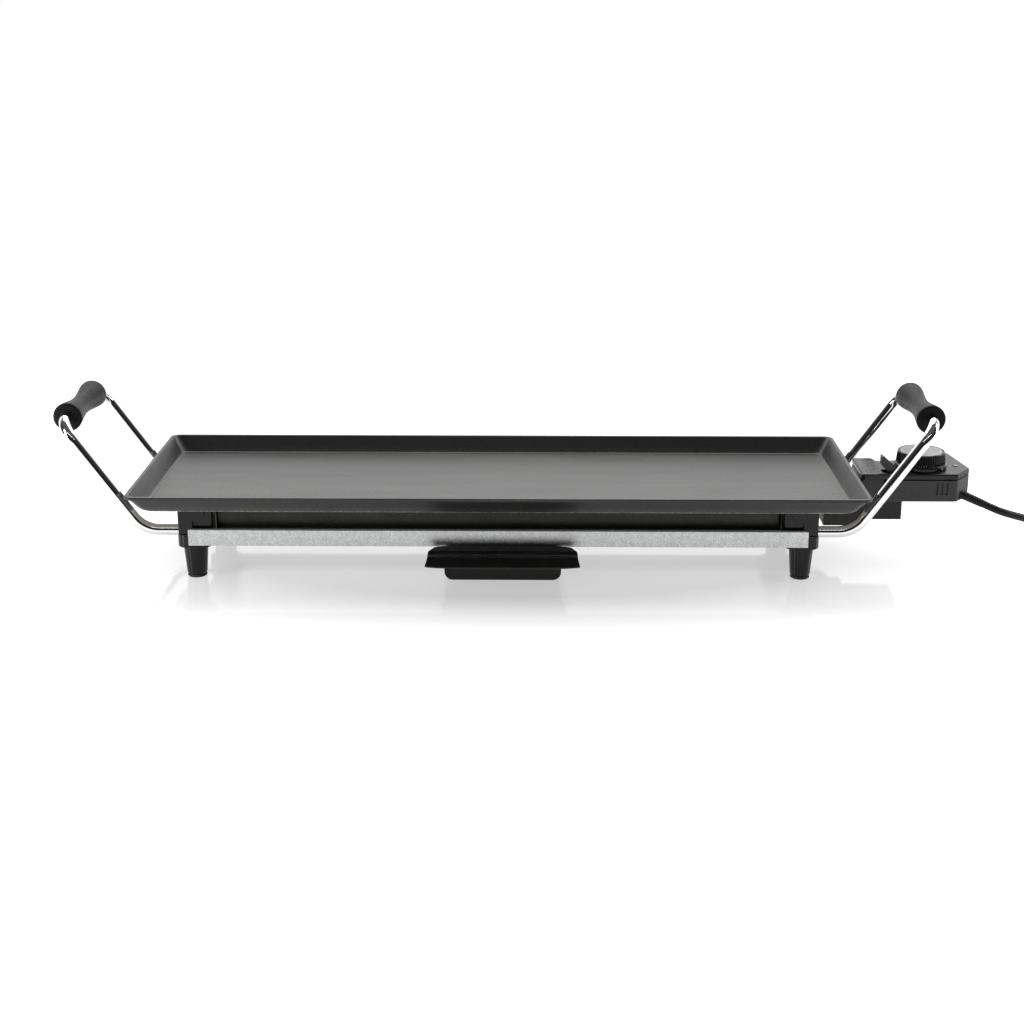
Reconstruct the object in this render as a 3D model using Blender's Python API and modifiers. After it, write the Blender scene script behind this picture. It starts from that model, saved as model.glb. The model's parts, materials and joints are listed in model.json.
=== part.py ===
"""Tabletop electric griddle (teppanyaki type): a long cast plate on four legs, a hairpin heating
element under it, a grease drawer, two chrome carrying handles and a plug-in thermostat with its lead.

Metres, +Z up. X runs along the plate (the thermostat is at +X), -Y is the front where the grease
drawer pulls out, and Z = 0 is the table. Everything hangs on one empty at the middle of the plate,
which is placed so that the griddle without its lead is centred on the origin.
"""

import math

import bmesh
import bpy
from mathutils import Matrix, Vector

GAP = 0.0003

# Plate
PLATE_HALF_X = 0.350
PLATE_HALF_Y = 0.115
RIM_Z = 0.0900
PLATE_BOTTOM_Z = 0.0715
PLATE_FLOOR = 0.0030
FLARE_X = 0.0120
FLARE_Y = 0.0130
RIM_WIDTH = 0.0035
UNDER_PLATE_Z = PLATE_BOTTOM_Z - GAP
DRAIN_Y = -0.0662
DRAIN_RADIUS = 0.0050

# Legs
LEG_X = 0.2915
LEG_Y = 0.075
COLLAR_HALF_X = 0.0165
COLLAR_HALF_Y = 0.0110
COLLAR_BOTTOM_Z = 0.0305
COLLAR_TOP_Z = 0.0430
FOOT_TOP_RADIUS = 0.0117
FOOT_BOTTOM_RADIUS = 0.0097
PAD_HEIGHT = 0.0030
BRACKET_BOTTOM_Z = 0.0448
BRACKET_OUTER = 0.0140
BRACKET_INNER = 0.0183
BRACKET_FACE = 0.0072
GUSSET_REACH = 0.0120
GUSSET_WIDTH = 0.0122
GUSSET_HEIGHT = 0.0095
GUSSET_EDGE = 0.0045
SCREW_RADIUS = 0.0020
SCREW_HOLE_RADIUS = 0.0023

# Base tray
TRAY_HALF_X = 0.296
TRAY_HALF_Y = 0.088
TRAY_RIM_Z = 0.0510
TRAY_SKIRT_Z = 0.0340
TRAY_FLOOR_Z = 0.0433
TRAY_SHEET = 0.0012

# Element and its cover
COVER_HALF_X = 0.2715
COVER_HALF_Y = 0.0752
COVER_BOTTOM_Z = 0.0462
COVER_SHEET = 0.0010
ELEMENT_RADIUS = 0.0040
ELEMENT_HALF_Y = 0.046
ELEMENT_Z = 0.0625
CLAMP_X = 0.130

# Handles
ROD_RADIUS = 0.0055
ROD_Z = 0.0460
ROD_INNER_X = 0.2795
ROD_KNEE_X = 0.341
GRIP_X = 0.4135
GRIP_Z = 0.1500
GRIP_HALF_LENGTH = 0.050
GRIP_RADIUS = 0.0140
GRIP_WAIST_RADIUS = 0.0098

# Grease drawer
DRAWER_X = 0.005
DRAWER_HALF_X = 0.0555
DRAWER_FRONT_Y = -0.100
DRAWER_BACK_Y = 0.030
DRAWER_BOTTOM_Z = 0.0045
DRAWER_TOP_Z = 0.0300
DRAWER_WALL = 0.0015
DRAWER_FLANGE = 0.0035
HOOD_ROOT_Z = 0.0335
HOOD_BACK_Y = -0.0925
HOOD_STEP_Y = -0.1085
HOOD_LIP_Y = -0.1246
HOOD_TOP_Z = 0.0368
HOOD_LIP_Z = 0.0250
HOOD_SHEET = 0.0026
HOOD_HALF_BACK = 0.0655
HOOD_HALF_LIP = 0.0730
HOOD_DIP = 0.0016
HOOD_END_Y = -0.1250

# Socket under the plate and the plug-in thermostat
PIN_Y = 0.011
PIN_Z = 0.0515
PIN_RADIUS = 0.0023
PROBE_Z = 0.0575
PROBE_RADIUS = 0.0030
PROBE_TIP_X = 0.235
SOCKET_LEFT_X = 0.318
SOCKET_RIGHT_X = 0.352
SOCKET_HALF_Y = 0.040
SOCKET_BOTTOM_Z = 0.0410
SOCKET_TOP_Z = 0.0705
CONTROL_LEFT_X = 0.356
CONTROL_RIGHT_X = 0.4660
CONTROL_END_X = 0.4655
CONTROL_FRONT_Y = -0.029
CONTROL_BOTTOM_Z = 0.0620
CONTROL_SEAM_Z = 0.0840
CONTROL_TOP_Z = 0.0900
SHELL_WALL = 0.0020
NECK_FRONT_Y = -0.0205
NECK_END_X = 0.3790
VENTS = 3
VENT_X = 0.4292
VENT_SPACING = 0.0049
VENT_WIDTH = 0.0021
VENT_BOTTOM_Z = 0.0690
VENT_TOP_Z = 0.0805
LENS_X = 0.4533
LENS_Y = 0.0020
LENS_HALF_X = 0.0028
LENS_HALF_Y = 0.0016
DIAL_X = 0.418
DIAL_BASE_RADIUS = 0.0255
DIAL_TOP_RADIUS = 0.0231
DIAL_BASE_Z = CONTROL_TOP_Z + 0.0010
DIAL_TOP_Z = DIAL_BASE_Z + 0.0155
LEVER_PIVOT_X = 0.3915
LEVER_PIVOT_Z = 0.0815
LEVER_FRONT_Y = -0.022
LEVER_BACK_Y = -0.012

# Lead, lying on the table: its diameter, and the round coil that takes up its length
CORD_RADIUS = 0.00375
CORD_REST_Z = 0.0040
COIL_ENTRY = Vector((0.6600, 0.0600, 0.0))
COIL_HEADING = math.radians(25.0)
COIL_INNER_RADIUS = 0.0302
COIL_TURNS_A_LAYER = 2.35
COIL_RISE_TURNS = 0.50
COIL_PITCH = 0.0077
COIL_OUTER_RADIUS = COIL_INNER_RADIUS + COIL_TURNS_A_LAYER * COIL_PITCH
COIL_CLEARANCE = 0.0003
COIL_SIDE = Vector((-math.sin(COIL_HEADING), math.cos(COIL_HEADING), 0.0))
COIL_MIDDLE = COIL_ENTRY + COIL_OUTER_RADIUS * COIL_SIDE
RELIEF_LENGTH = 0.024
RELIEF_START = Vector((0.4558, -0.0200, 0.0672))
RELIEF_SLOPE = math.radians(-24.0)
PLUG_RADIUS = 0.0185

# The griddle reaches from the left grip to the rounded corner of the thermostat, and from the drawer's
# handle to the back of the plate. The plate's middle stands off the origin by half the difference.
PLATE_MIDDLE = Vector((
    (GRIP_X + GRIP_RADIUS - CONTROL_END_X) / 2,
    (-HOOD_END_Y - PLATE_HALF_Y) / 2,
    0.0,
))


# ---------------------------------------------------------------- scene, materials, finishing

def clear_scene():
    for old in list(bpy.data.objects):
        bpy.data.objects.remove(old, do_unlink=True)


def new_collection(name, hidden=False):
    collection = bpy.data.collections.new(name)
    bpy.context.scene.collection.children.link(collection)
    collection.hide_render = hidden
    return collection


def new_material(name, colour, metallic, roughness):
    material = bpy.data.materials.new(name)
    material.use_nodes = True
    shader = material.node_tree.nodes["Principled BSDF"]
    shader.inputs["Base Color"].default_value = (*colour, 1.0)
    shader.inputs["Metallic"].default_value = metallic
    shader.inputs["Roughness"].default_value = roughness
    material.diffuse_color = (*colour, 1.0)
    return material


clear_scene()
PARTS = new_collection("electric_griddle")
CUTTERS = new_collection("cutters", hidden=True)
MATERIALS = {
    "cast_coating": new_material("cast_coating", (0.17, 0.17, 0.17), 0.3, 0.45),
    "galvanised": new_material("galvanised", (0.62, 0.63, 0.62), 1.0, 0.38),
    "dark_sheet": new_material("dark_sheet", (0.055, 0.055, 0.045), 0.6, 0.5),
    "element_steel": new_material("element_steel", (0.30, 0.30, 0.30), 0.9, 0.4),
    "zinc": new_material("zinc", (0.60, 0.60, 0.60), 1.0, 0.35),
    "chrome": new_material("chrome", (0.85, 0.85, 0.86), 1.0, 0.08),
    "black_phenolic": new_material("black_phenolic", (0.02, 0.02, 0.02), 0.0, 0.3),
    "grip_plastic": new_material("grip_plastic", (0.015, 0.015, 0.015), 0.0, 0.5),
    "control_plastic": new_material("control_plastic", (0.05, 0.05, 0.05), 0.0, 0.42),
    "control_top": new_material("control_top", (0.20, 0.20, 0.20), 0.0, 0.45),
    "dial_film": new_material("dial_film", (0.30, 0.30, 0.30), 0.4, 0.35),
    "rubber": new_material("rubber", (0.03, 0.03, 0.03), 0.0, 0.8),
    "pilot_lens": new_material("pilot_lens", (0.70, 0.68, 0.64), 0.0, 0.15),
    "cord_sheath": new_material("cord_sheath", (0.02, 0.02, 0.02), 0.0, 0.55),
}
ROOT = bpy.data.objects.new("plate_middle", None)
ROOT.location = PLATE_MIDDLE
PARTS.objects.link(ROOT)


def mesh_object(name, mesh, location=(0.0, 0.0, 0.0), material=None):
    """A part of the griddle, or a cutter where no material is given."""
    obj = bpy.data.objects.new(name, mesh)
    obj.location = location
    obj.parent = ROOT
    if material is None:
        CUTTERS.objects.link(obj)
        obj.hide_render = True
        obj.display_type = "WIRE"
    else:
        PARTS.objects.link(obj)
        mesh.materials.clear()
        mesh.materials.append(MATERIALS[material])
        mesh.shade_smooth()
        mesh.set_sharp_from_angle(angle=math.radians(32.0))
    return obj


def mesh_from(bm, name):
    bmesh.ops.recalc_face_normals(bm, faces=bm.faces)
    mesh = bpy.data.meshes.new(name)
    bm.to_mesh(mesh)
    bm.free()
    return mesh


# ---------------------------------------------------------------- shapes

def box(name, low, high, material=None, bevel=0.0, segments=2):
    bm = bmesh.new()
    bmesh.ops.create_cube(bm, size=1.0)
    size = Vector(high) - Vector(low)
    middle = (Vector(high) + Vector(low)) / 2
    bmesh.ops.scale(bm, vec=size, verts=bm.verts)
    obj = mesh_object(name, mesh_from(bm, name), middle, material)
    if bevel:
        round_edges(obj, bevel, segments)
    return obj


def cylinder(name, radius, start, end, material=None, sides=24, end_radius=None):
    """A cylinder or cone from one end point to the other."""
    start = Vector(start)
    along = Vector(end) - start
    bm = bmesh.new()
    bmesh.ops.create_cone(
        bm, cap_ends=True, segments=sides, depth=along.length,
        radius1=radius, radius2=radius if end_radius is None else end_radius,
    )
    turn = along.to_track_quat("Z", "Y").to_matrix().to_4x4()
    bmesh.ops.transform(bm, matrix=turn, verts=bm.verts)
    return mesh_object(name, mesh_from(bm, name), start + along / 2, material)


def round_edges(obj, width, segments=2, angle=35.0):
    bevel = obj.modifiers.new("rounding", "BEVEL")
    bevel.width = width
    bevel.segments = segments
    bevel.limit_method = "ANGLE"
    bevel.angle_limit = math.radians(angle)


def cut(obj, cutter, operation="DIFFERENCE"):
    boolean = obj.modifiers.new(cutter.name, "BOOLEAN")
    boolean.operation = operation
    boolean.object = cutter
    boolean.solver = "EXACT"


def join(obj, other):
    cut(obj, other, "UNION")


def turned(name, profile, material=None, location=(0.0, 0.0, 0.0), rotation=(0.0, 0.0, 0.0), steps=28):
    """A profile of (radius, height) points, outer side top to bottom, turned about its own Z."""
    bm = bmesh.new()
    points = [bm.verts.new((radius, 0.0, height)) for radius, height in profile]
    closed = profile[0][0] > 0 and profile[-1][0] > 0
    for first, second in zip(points, points[1:] + points[:1] if closed else points[1:]):
        bm.edges.new((first, second))
    mesh = bpy.data.meshes.new(name)
    bm.to_mesh(mesh)
    bm.free()
    obj = mesh_object(name, mesh, location, material)
    obj.rotation_euler = rotation
    screw = obj.modifiers.new("turn", "SCREW")
    screw.steps = steps
    screw.render_steps = steps
    screw.use_merge_vertices = True
    screw.merge_threshold = 0.00005
    screw.use_smooth_shade = True
    return obj


def rounded_corners(corners, steps=5):
    """(x, y, radius) corners of a closed outline to points, with an arc at each corner."""
    points = []
    count = len(corners)
    for index, (x, y, radius) in enumerate(corners):
        here = Vector((x, y))
        back = (Vector(corners[index - 1][:2]) - here).normalized()
        ahead = (Vector(corners[(index + 1) % count][:2]) - here).normalized()
        if radius <= 0.0:
            points.append(here)
            continue
        half = back.angle(ahead) / 2
        reach = radius / math.tan(half)
        centre = here + (back + ahead).normalized() * (radius / math.sin(half))
        start = here + back * reach - centre
        end = here + ahead * reach - centre
        sweep = start.angle_signed(end)
        for step in range(steps + 1):
            points.append(centre + Matrix.Rotation(-sweep * step / steps, 2) @ start)
    return points


def inset(corners, distance):
    """The same outline, counter-clockwise, moved inwards by a distance."""
    count = len(corners)
    moved = []
    for index, (x, y, radius) in enumerate(corners):
        here = Vector((x, y))
        back = (here - Vector(corners[index - 1][:2])).normalized()
        ahead = (Vector(corners[(index + 1) % count][:2]) - here).normalized()
        normal_back = Vector((-back.y, back.x))
        normal_ahead = Vector((-ahead.y, ahead.x))
        bisector = (normal_back + normal_ahead).normalized()
        shift = bisector * (distance / bisector.dot(normal_ahead))
        turn = back.x * ahead.y - back.y * ahead.x
        inner = radius - distance if turn > 0 else radius + distance
        moved.append((here.x + shift.x, here.y + shift.y, max(inner, 0.0006)))
    return moved


def prism(name, points, low, high, material=None, axis="Z"):
    """An outline of (a, b) points, extruded from low to high along an axis.

    The outline lies in XY for axis Z, in XZ for axis Y and in YZ for axis X."""
    place = {
        "Z": lambda a, b, c: (a, b, c),
        "Y": lambda a, b, c: (a, c, b),
        "X": lambda a, b, c: (c, a, b),
    }[axis]
    bm = bmesh.new()
    bottom = [bm.verts.new(place(point[0], point[1], low)) for point in points]
    face = bm.faces.new(bottom)
    made = bmesh.ops.extrude_face_region(bm, geom=[face])
    lifted = [item for item in made["geom"] if isinstance(item, bmesh.types.BMVert)]
    bmesh.ops.translate(bm, verts=lifted, vec=place(0.0, 0.0, high - low))
    return mesh_object(name, mesh_from(bm, name), (0.0, 0.0, 0.0), material)


def rectangle_ring(half_x, half_y, radius, z, steps=4):
    corners = [
        (half_x, -half_y, radius),
        (half_x, half_y, radius),
        (-half_x, half_y, radius),
        (-half_x, -half_y, radius),
    ]
    return [(point.x, point.y, z) for point in rounded_corners(corners, steps)]


def loft(name, rings, material=None, location=(0.0, 0.0, 0.0)):
    """Rings with equal numbers of points, joined in order and capped at both ends."""
    bm = bmesh.new()
    rows = [[bm.verts.new(point) for point in ring] for ring in rings]
    for lower, upper in zip(rows, rows[1:]):
        for index in range(len(lower)):
            after = (index + 1) % len(lower)
            bm.faces.new((lower[index], lower[after], upper[after], upper[index]))
    bm.faces.new(list(reversed(rows[0])))
    bm.faces.new(rows[-1])
    return mesh_object(name, mesh_from(bm, name), location, material)


def rounded_path(corners, steps=6):
    """(x, y, z, radius) corners of an open path to points, with an arc at each inner corner."""
    points = [Vector(corners[0][:3])]
    for before, corner, after in zip(corners, corners[1:], corners[2:]):
        here = Vector(corner[:3])
        back = (Vector(before[:3]) - here).normalized()
        ahead = (Vector(after[:3]) - here).normalized()
        half = back.angle(ahead) / 2
        reach = corner[3] / math.tan(half)
        centre = here + (back + ahead).normalized() * (corner[3] / math.sin(half))
        start = here + back * reach - centre
        end = here + ahead * reach - centre
        axis = start.cross(end)
        sweep = start.angle(end)
        for step in range(steps + 1):
            points.append(centre + Matrix.Rotation(sweep * step / steps, 3, axis) @ start)
    points.append(Vector(corners[-1][:3]))
    return points


def tube(name, points, radius, material, bevel_resolution=2):
    """A round bar along a list of points, turned into a mesh with welded end caps."""
    curve = bpy.data.curves.new(name, "CURVE")
    curve.dimensions = "3D"
    curve.bevel_depth = radius
    curve.bevel_resolution = bevel_resolution
    curve.use_fill_caps = True
    spline = curve.splines.new("POLY")
    spline.points.add(len(points) - 1)
    for target, point in zip(spline.points, points):
        target.co = (*point, 1.0)
    guide = bpy.data.objects.new(name + "_line", curve)
    PARTS.objects.link(guide)
    bpy.context.view_layer.update()
    graph = bpy.context.evaluated_depsgraph_get()
    mesh = bpy.data.meshes.new_from_object(guide.evaluated_get(graph))
    bpy.data.objects.remove(guide, do_unlink=True)
    bm = bmesh.new()
    bm.from_mesh(mesh)
    bmesh.ops.remove_doubles(bm, verts=bm.verts, dist=0.00001)
    bpy.data.meshes.remove(mesh)
    return mesh_object(name, mesh_from(bm, name), (0.0, 0.0, 0.0), material)


def screw_body(name, tip, head, radius=SCREW_RADIUS, head_radius=0.0036, head_height=0.0024):
    """A pan-head screw: its shank runs from the tip to the seat of the head."""
    tip = Vector(tip)
    head = Vector(head)
    length = (head - tip).length
    edge = head_radius * 0.72
    profile = [
        (0.0, head_height),
        (edge, head_height),
        (head_radius, head_height * 0.45),
        (head_radius, 0.0),
        (radius, 0.0),
        (radius, -length + radius),
        (radius * 0.35, -length),
        (0.0, -length),
    ]
    obj = turned(name, profile, "zinc", head, steps=12)
    obj.rotation_euler = (head - tip).to_track_quat("Z", "Y").to_euler()
    return obj


# ---------------------------------------------------------------- plate and what is under it

def legs():
    """Each leg's name and the signs of its x and y."""
    for side_name, side in (("left", -1), ("right", 1)):
        for end_name, end in (("front", -1), ("rear", 1)):
            yield f"{end_name}_{side_name}", side, end


def make_plate():
    lip = 0.0028
    bottom_x = PLATE_HALF_X - FLARE_X
    bottom_y = PLATE_HALF_Y - FLARE_Y
    floor_z = PLATE_BOTTOM_Z + PLATE_FLOOR
    rings = [
        rectangle_ring(bottom_x - 0.0015, bottom_y - 0.0015, 0.0115, PLATE_BOTTOM_Z),
        rectangle_ring(bottom_x, bottom_y, 0.012, PLATE_BOTTOM_Z + 0.0010),
        rectangle_ring(PLATE_HALF_X - 0.0014, PLATE_HALF_Y - 0.0014, 0.009, RIM_Z - lip - 0.0004),
        rectangle_ring(PLATE_HALF_X, PLATE_HALF_Y, 0.008, RIM_Z - lip),
        rectangle_ring(PLATE_HALF_X, PLATE_HALF_Y, 0.008, RIM_Z - 0.0005),
        rectangle_ring(PLATE_HALF_X - 0.0005, PLATE_HALF_Y - 0.0005, 0.0078, RIM_Z),
        rectangle_ring(PLATE_HALF_X - RIM_WIDTH, PLATE_HALF_Y - RIM_WIDTH, 0.0065, RIM_Z),
        rectangle_ring(bottom_x - 0.0008, bottom_y - 0.0008, 0.0085, floor_z + 0.0012),
        rectangle_ring(bottom_x - 0.0030, bottom_y - 0.0030, 0.0080, floor_z),
    ]
    plate = loft("griddle_plate", rings, "cast_coating")
    for name, side, end in legs():
        x = side * LEG_X
        y = end * LEG_Y
        boss_low = PLATE_BOTTOM_Z - 0.006
        join(plate, cylinder("boss_" + name, 0.006, (x, y, boss_low), (x, y, PLATE_BOTTOM_Z + 0.001)))
        cut(plate, cylinder("boss_hole_" + name, SCREW_HOLE_RADIUS,
                            (x, y, boss_low - 0.002), (x, y, PLATE_BOTTOM_Z - 0.0010), sides=16))
    cut(plate, cylinder("drain_hole", DRAIN_RADIUS, (0, DRAIN_Y, 0.060), (0, DRAIN_Y, 0.080)))


def make_drain_spout():
    bottom = DRAWER_TOP_Z + 0.0015
    profile = [
        (0.0076, UNDER_PLATE_Z),
        (0.0076, UNDER_PLATE_Z - 0.0012),
        (0.0055, UNDER_PLATE_Z - 0.0035),
        (0.0055, bottom),
        (0.0045, bottom),
        (0.0045, UNDER_PLATE_Z - 0.0035),
        (0.0064, UNDER_PLATE_Z),
    ]
    turned("drain_spout", profile, "element_steel", (0.0, DRAIN_Y, 0.0), steps=24)


def make_heating_element():
    tail_x = 0.3145
    bend_x = 0.245
    left = -0.205
    corners = [(tail_x, -PIN_Y, PIN_Z, 0.0), (0.284, -PIN_Y, PIN_Z, 0.012),
               (bend_x, -ELEMENT_HALF_Y, ELEMENT_Z, 0.018)]
    points = rounded_path(corners + [(left, -ELEMENT_HALF_Y, ELEMENT_Z, 0.0)], steps=5)
    bend_steps = 12
    for step in range(1, bend_steps):
        angle = math.pi * step / bend_steps
        points.append(Vector((
            left - ELEMENT_HALF_Y * math.sin(angle), -ELEMENT_HALF_Y * math.cos(angle), ELEMENT_Z,
        )))
    mirrored = [Vector((point.x, -point.y, point.z)) for point in points[:-bend_steps + 1]]
    tube("heating_element", points + mirrored[::-1], ELEMENT_RADIUS, "element_steel")
    for name, side in (("front", -1), ("rear", 1)):
        cylinder("terminal_pin_" + name, PIN_RADIUS, (tail_x + GAP, side * PIN_Y, PIN_Z),
                 (0.3455, side * PIN_Y, PIN_Z), "zinc", sides=16)


def make_element_clamps():
    """Two straps that hold the element up against the plate."""
    thick = 0.0012
    half = 0.0135
    low = ELEMENT_Z - ELEMENT_RADIUS - GAP - thick
    outer = ELEMENT_HALF_Y + ELEMENT_RADIUS + 0.006
    foot = 0.008
    outline = [
        (-outer - foot, UNDER_PLATE_Z), (-outer - foot, UNDER_PLATE_Z - thick),
        (-outer - thick, UNDER_PLATE_Z - thick), (-outer - thick, low), (outer + thick, low),
        (outer + thick, UNDER_PLATE_Z - thick), (outer + foot, UNDER_PLATE_Z - thick),
        (outer + foot, UNDER_PLATE_Z), (outer, UNDER_PLATE_Z), (outer, low + thick),
        (-outer, low + thick), (-outer, UNDER_PLATE_Z),
    ]
    for name, x in (("left", -CLAMP_X), ("right", CLAMP_X)):
        prism("element_clamp_" + name, outline, x - half, x + half, "element_steel", axis="X")


def make_probe_well():
    well = box("probe_well", (0.215, -0.007, PROBE_Z - 0.0048), (0.262, 0.007, UNDER_PLATE_Z),
               "element_steel")
    cut(well, cylinder("probe_bore", PROBE_RADIUS + 0.0004, (0.228, 0, PROBE_Z), (0.270, 0, PROBE_Z)))


def make_element_cover():
    inner_x = COVER_HALF_X - COVER_SHEET
    inner_y = COVER_HALF_Y - COVER_SHEET
    floor_z = COVER_BOTTOM_Z + COVER_SHEET
    cover = loft("element_cover", [
        rectangle_ring(COVER_HALF_X, COVER_HALF_Y, 0.005, COVER_BOTTOM_Z, 3),
        rectangle_ring(COVER_HALF_X, COVER_HALF_Y, 0.005, UNDER_PLATE_Z, 3),
        rectangle_ring(inner_x, inner_y, 0.004, UNDER_PLATE_Z, 3),
        rectangle_ring(inner_x, inner_y, 0.004, floor_z, 3),
    ], "dark_sheet")
    cut(cover, cylinder("spout_hole_cover", 0.0066, (0, DRAIN_Y, 0.040), (0, DRAIN_Y, 0.060), sides=20))
    cut(cover, box("tail_slot", (0.262, -0.030, 0.0480), (0.280, 0.030, 0.0672)))


def make_base_tray():
    """Galvanised heat shield: a floor whose front and back edges turn up, over and down as skirts."""
    rim_in = TRAY_HALF_Y - 0.0045
    middle_floor = TRAY_FLOOR_Z + TRAY_SHEET / 2
    half_sheet = TRAY_SHEET / 2
    line = [
        (-TRAY_HALF_Y + half_sheet, TRAY_SKIRT_Z), (-TRAY_HALF_Y + half_sheet, TRAY_RIM_Z - half_sheet),
        (-rim_in, TRAY_RIM_Z - half_sheet), (-rim_in, middle_floor),
        (rim_in, middle_floor), (rim_in, TRAY_RIM_Z - half_sheet),
        (TRAY_HALF_Y - half_sheet, TRAY_RIM_Z - half_sheet), (TRAY_HALF_Y - half_sheet, TRAY_SKIRT_Z),
    ]
    bm = bmesh.new()
    ends = [[bm.verts.new((x, y, z)) for y, z in line] for x in (-TRAY_HALF_X, TRAY_HALF_X)]
    for index in range(len(line) - 1):
        bm.faces.new((ends[0][index], ends[0][index + 1], ends[1][index + 1], ends[1][index]))
    tray = mesh_object("base_tray", mesh_from(bm, "base_tray"), material="galvanised")
    round_edges(tray, 0.0011, 2, 40.0)
    sheet = tray.modifiers.new("sheet", "SOLIDIFY")
    sheet.thickness = TRAY_SHEET
    sheet.offset = 0.0
    sheet.use_even_offset = True
    for name, side in (("left", -1), ("right", 1)):
        near, far = sorted((side * (TRAY_HALF_X - TRAY_SHEET), side * TRAY_HALF_X))
        flange = box("tray_flange_" + name, (near, -0.060, TRAY_SKIRT_Z + 0.002), (far, 0.060, middle_floor))
        join(tray, flange)
    for name, side, end in legs():
        slot_x = sorted((side * (ROD_INNER_X - 0.0015), side * (TRAY_HALF_X + 0.002)))
        half = ROD_RADIUS + 0.0008
        cut(tray, box("rod_slot_" + name, (slot_x[0], end * LEG_Y - half, 0.040),
                      (slot_x[1], end * LEG_Y + half, 0.048)))
        notch_x = sorted((side * 0.2722, side * (TRAY_HALF_X + 0.002)))
        notch_y = sorted((end * (LEG_Y + 0.003), end * (TRAY_HALF_Y - TRAY_SHEET - 0.0003)))
        cut(tray, box("rim_notch_" + name, (notch_x[0], notch_y[0], TRAY_FLOOR_Z + TRAY_SHEET + 0.0002),
                      (notch_x[1], notch_y[1], TRAY_RIM_Z + 0.002)))
    cut(tray, cylinder("spout_hole_tray", 0.0066, (0, DRAIN_Y, 0.038), (0, DRAIN_Y, 0.0455), sides=20))


# ---------------------------------------------------------------- legs

def make_leg(name, side, end):
    x = side * LEG_X
    y = end * LEG_Y
    rod_bore = cylinder("rod_bore_" + name, ROD_RADIUS + GAP, (side * (ROD_INNER_X - 0.001), y, ROD_Z),
                        (side * (LEG_X + 0.030), y, ROD_Z), sides=20)
    screw_hole = cylinder("screw_hole_" + name, SCREW_HOLE_RADIUS, (x, y, 0.010), (x, y, 0.080), sides=16)

    outer_x = x + side * BRACKET_OUTER
    inner_x = x - side * BRACKET_INNER
    face_y = y + end * BRACKET_FACE
    back_y = y - end * COLLAR_HALF_Y
    low_x, high_x = sorted((outer_x, inner_x))
    low_y, high_y = sorted((face_y, back_y))
    outline = rounded_corners([
        (low_x, low_y, 0.002), (high_x, low_y, 0.002), (high_x, high_y, 0.002), (low_x, high_y, 0.002),
    ], 3)
    bracket = prism("leg_bracket_" + name, outline, BRACKET_BOTTOM_Z, UNDER_PLATE_Z, "black_phenolic")
    gusset_x = x - side * GUSSET_REACH
    gusset_z = UNDER_PLATE_Z - GUSSET_EDGE
    rib = [
        (outer_x, BRACKET_BOTTOM_Z), (outer_x, UNDER_PLATE_Z),
        (gusset_x, UNDER_PLATE_Z), (gusset_x, gusset_z),
    ]
    arc_steps = 6
    for step in range(1, arc_steps + 1):
        angle = math.pi / 2 * step / arc_steps
        rib.append((
            gusset_x + side * GUSSET_WIDTH * (1 - math.cos(angle)),
            gusset_z - GUSSET_HEIGHT * math.sin(angle),
        ))
    rib.append((gusset_x + side * GUSSET_WIDTH, BRACKET_BOTTOM_Z))
    rib_y = sorted((y + end * 0.0060, y + end * COLLAR_HALF_Y))
    join(bracket, prism("rib_" + name, rib, rib_y[0], rib_y[1], axis="Y"))
    cut(bracket, rod_bore)
    cut(bracket, screw_hole)
    cut(bracket, cylinder("boss_pocket_" + name, 0.0064, (x, y, PLATE_BOTTOM_Z - 0.0064), (x, y, 0.080)))

    foot = turned("foot_" + name, [
        (0.0, COLLAR_BOTTOM_Z + 0.002), (FOOT_TOP_RADIUS, COLLAR_BOTTOM_Z + 0.002),
        (FOOT_TOP_RADIUS, COLLAR_BOTTOM_Z - 0.001), (FOOT_BOTTOM_RADIUS, PAD_HEIGHT + 0.001),
        (FOOT_BOTTOM_RADIUS - 0.001, PAD_HEIGHT), (0.0, PAD_HEIGHT),
    ], "black_phenolic", (x, y, 0.0), steps=24)
    stadium = rounded_corners([
        (x - COLLAR_HALF_X, y - COLLAR_HALF_Y, 0.0105), (x + COLLAR_HALF_X, y - COLLAR_HALF_Y, 0.0105),
        (x + COLLAR_HALF_X, y + COLLAR_HALF_Y, 0.0105), (x - COLLAR_HALF_X, y + COLLAR_HALF_Y, 0.0105),
    ], 4)
    join(foot, prism("collar_" + name, stadium, COLLAR_BOTTOM_Z, COLLAR_TOP_Z))
    cut(foot, rod_bore)
    cut(foot, screw_hole)
    seat_z = 0.0195
    cut(foot, cylinder("counterbore_" + name, 0.0046, (x, y, -0.010), (x, y, seat_z), sides=20))
    pad_top = PAD_HEIGHT - GAP
    turned("foot_pad_" + name, [
        (0.0, pad_top), (FOOT_BOTTOM_RADIUS - 0.0008, pad_top), (FOOT_BOTTOM_RADIUS - 0.0002, 0.0008),
        (FOOT_BOTTOM_RADIUS - 0.0010, 0.0), (0.0, 0.0),
    ], "rubber", (x, y, 0.0), steps=16)
    screw_body("leg_screw_" + name, (x, y, PLATE_BOTTOM_Z - 0.0015), (x, y, seat_z - GAP))


# ---------------------------------------------------------------- carrying handles

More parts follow.
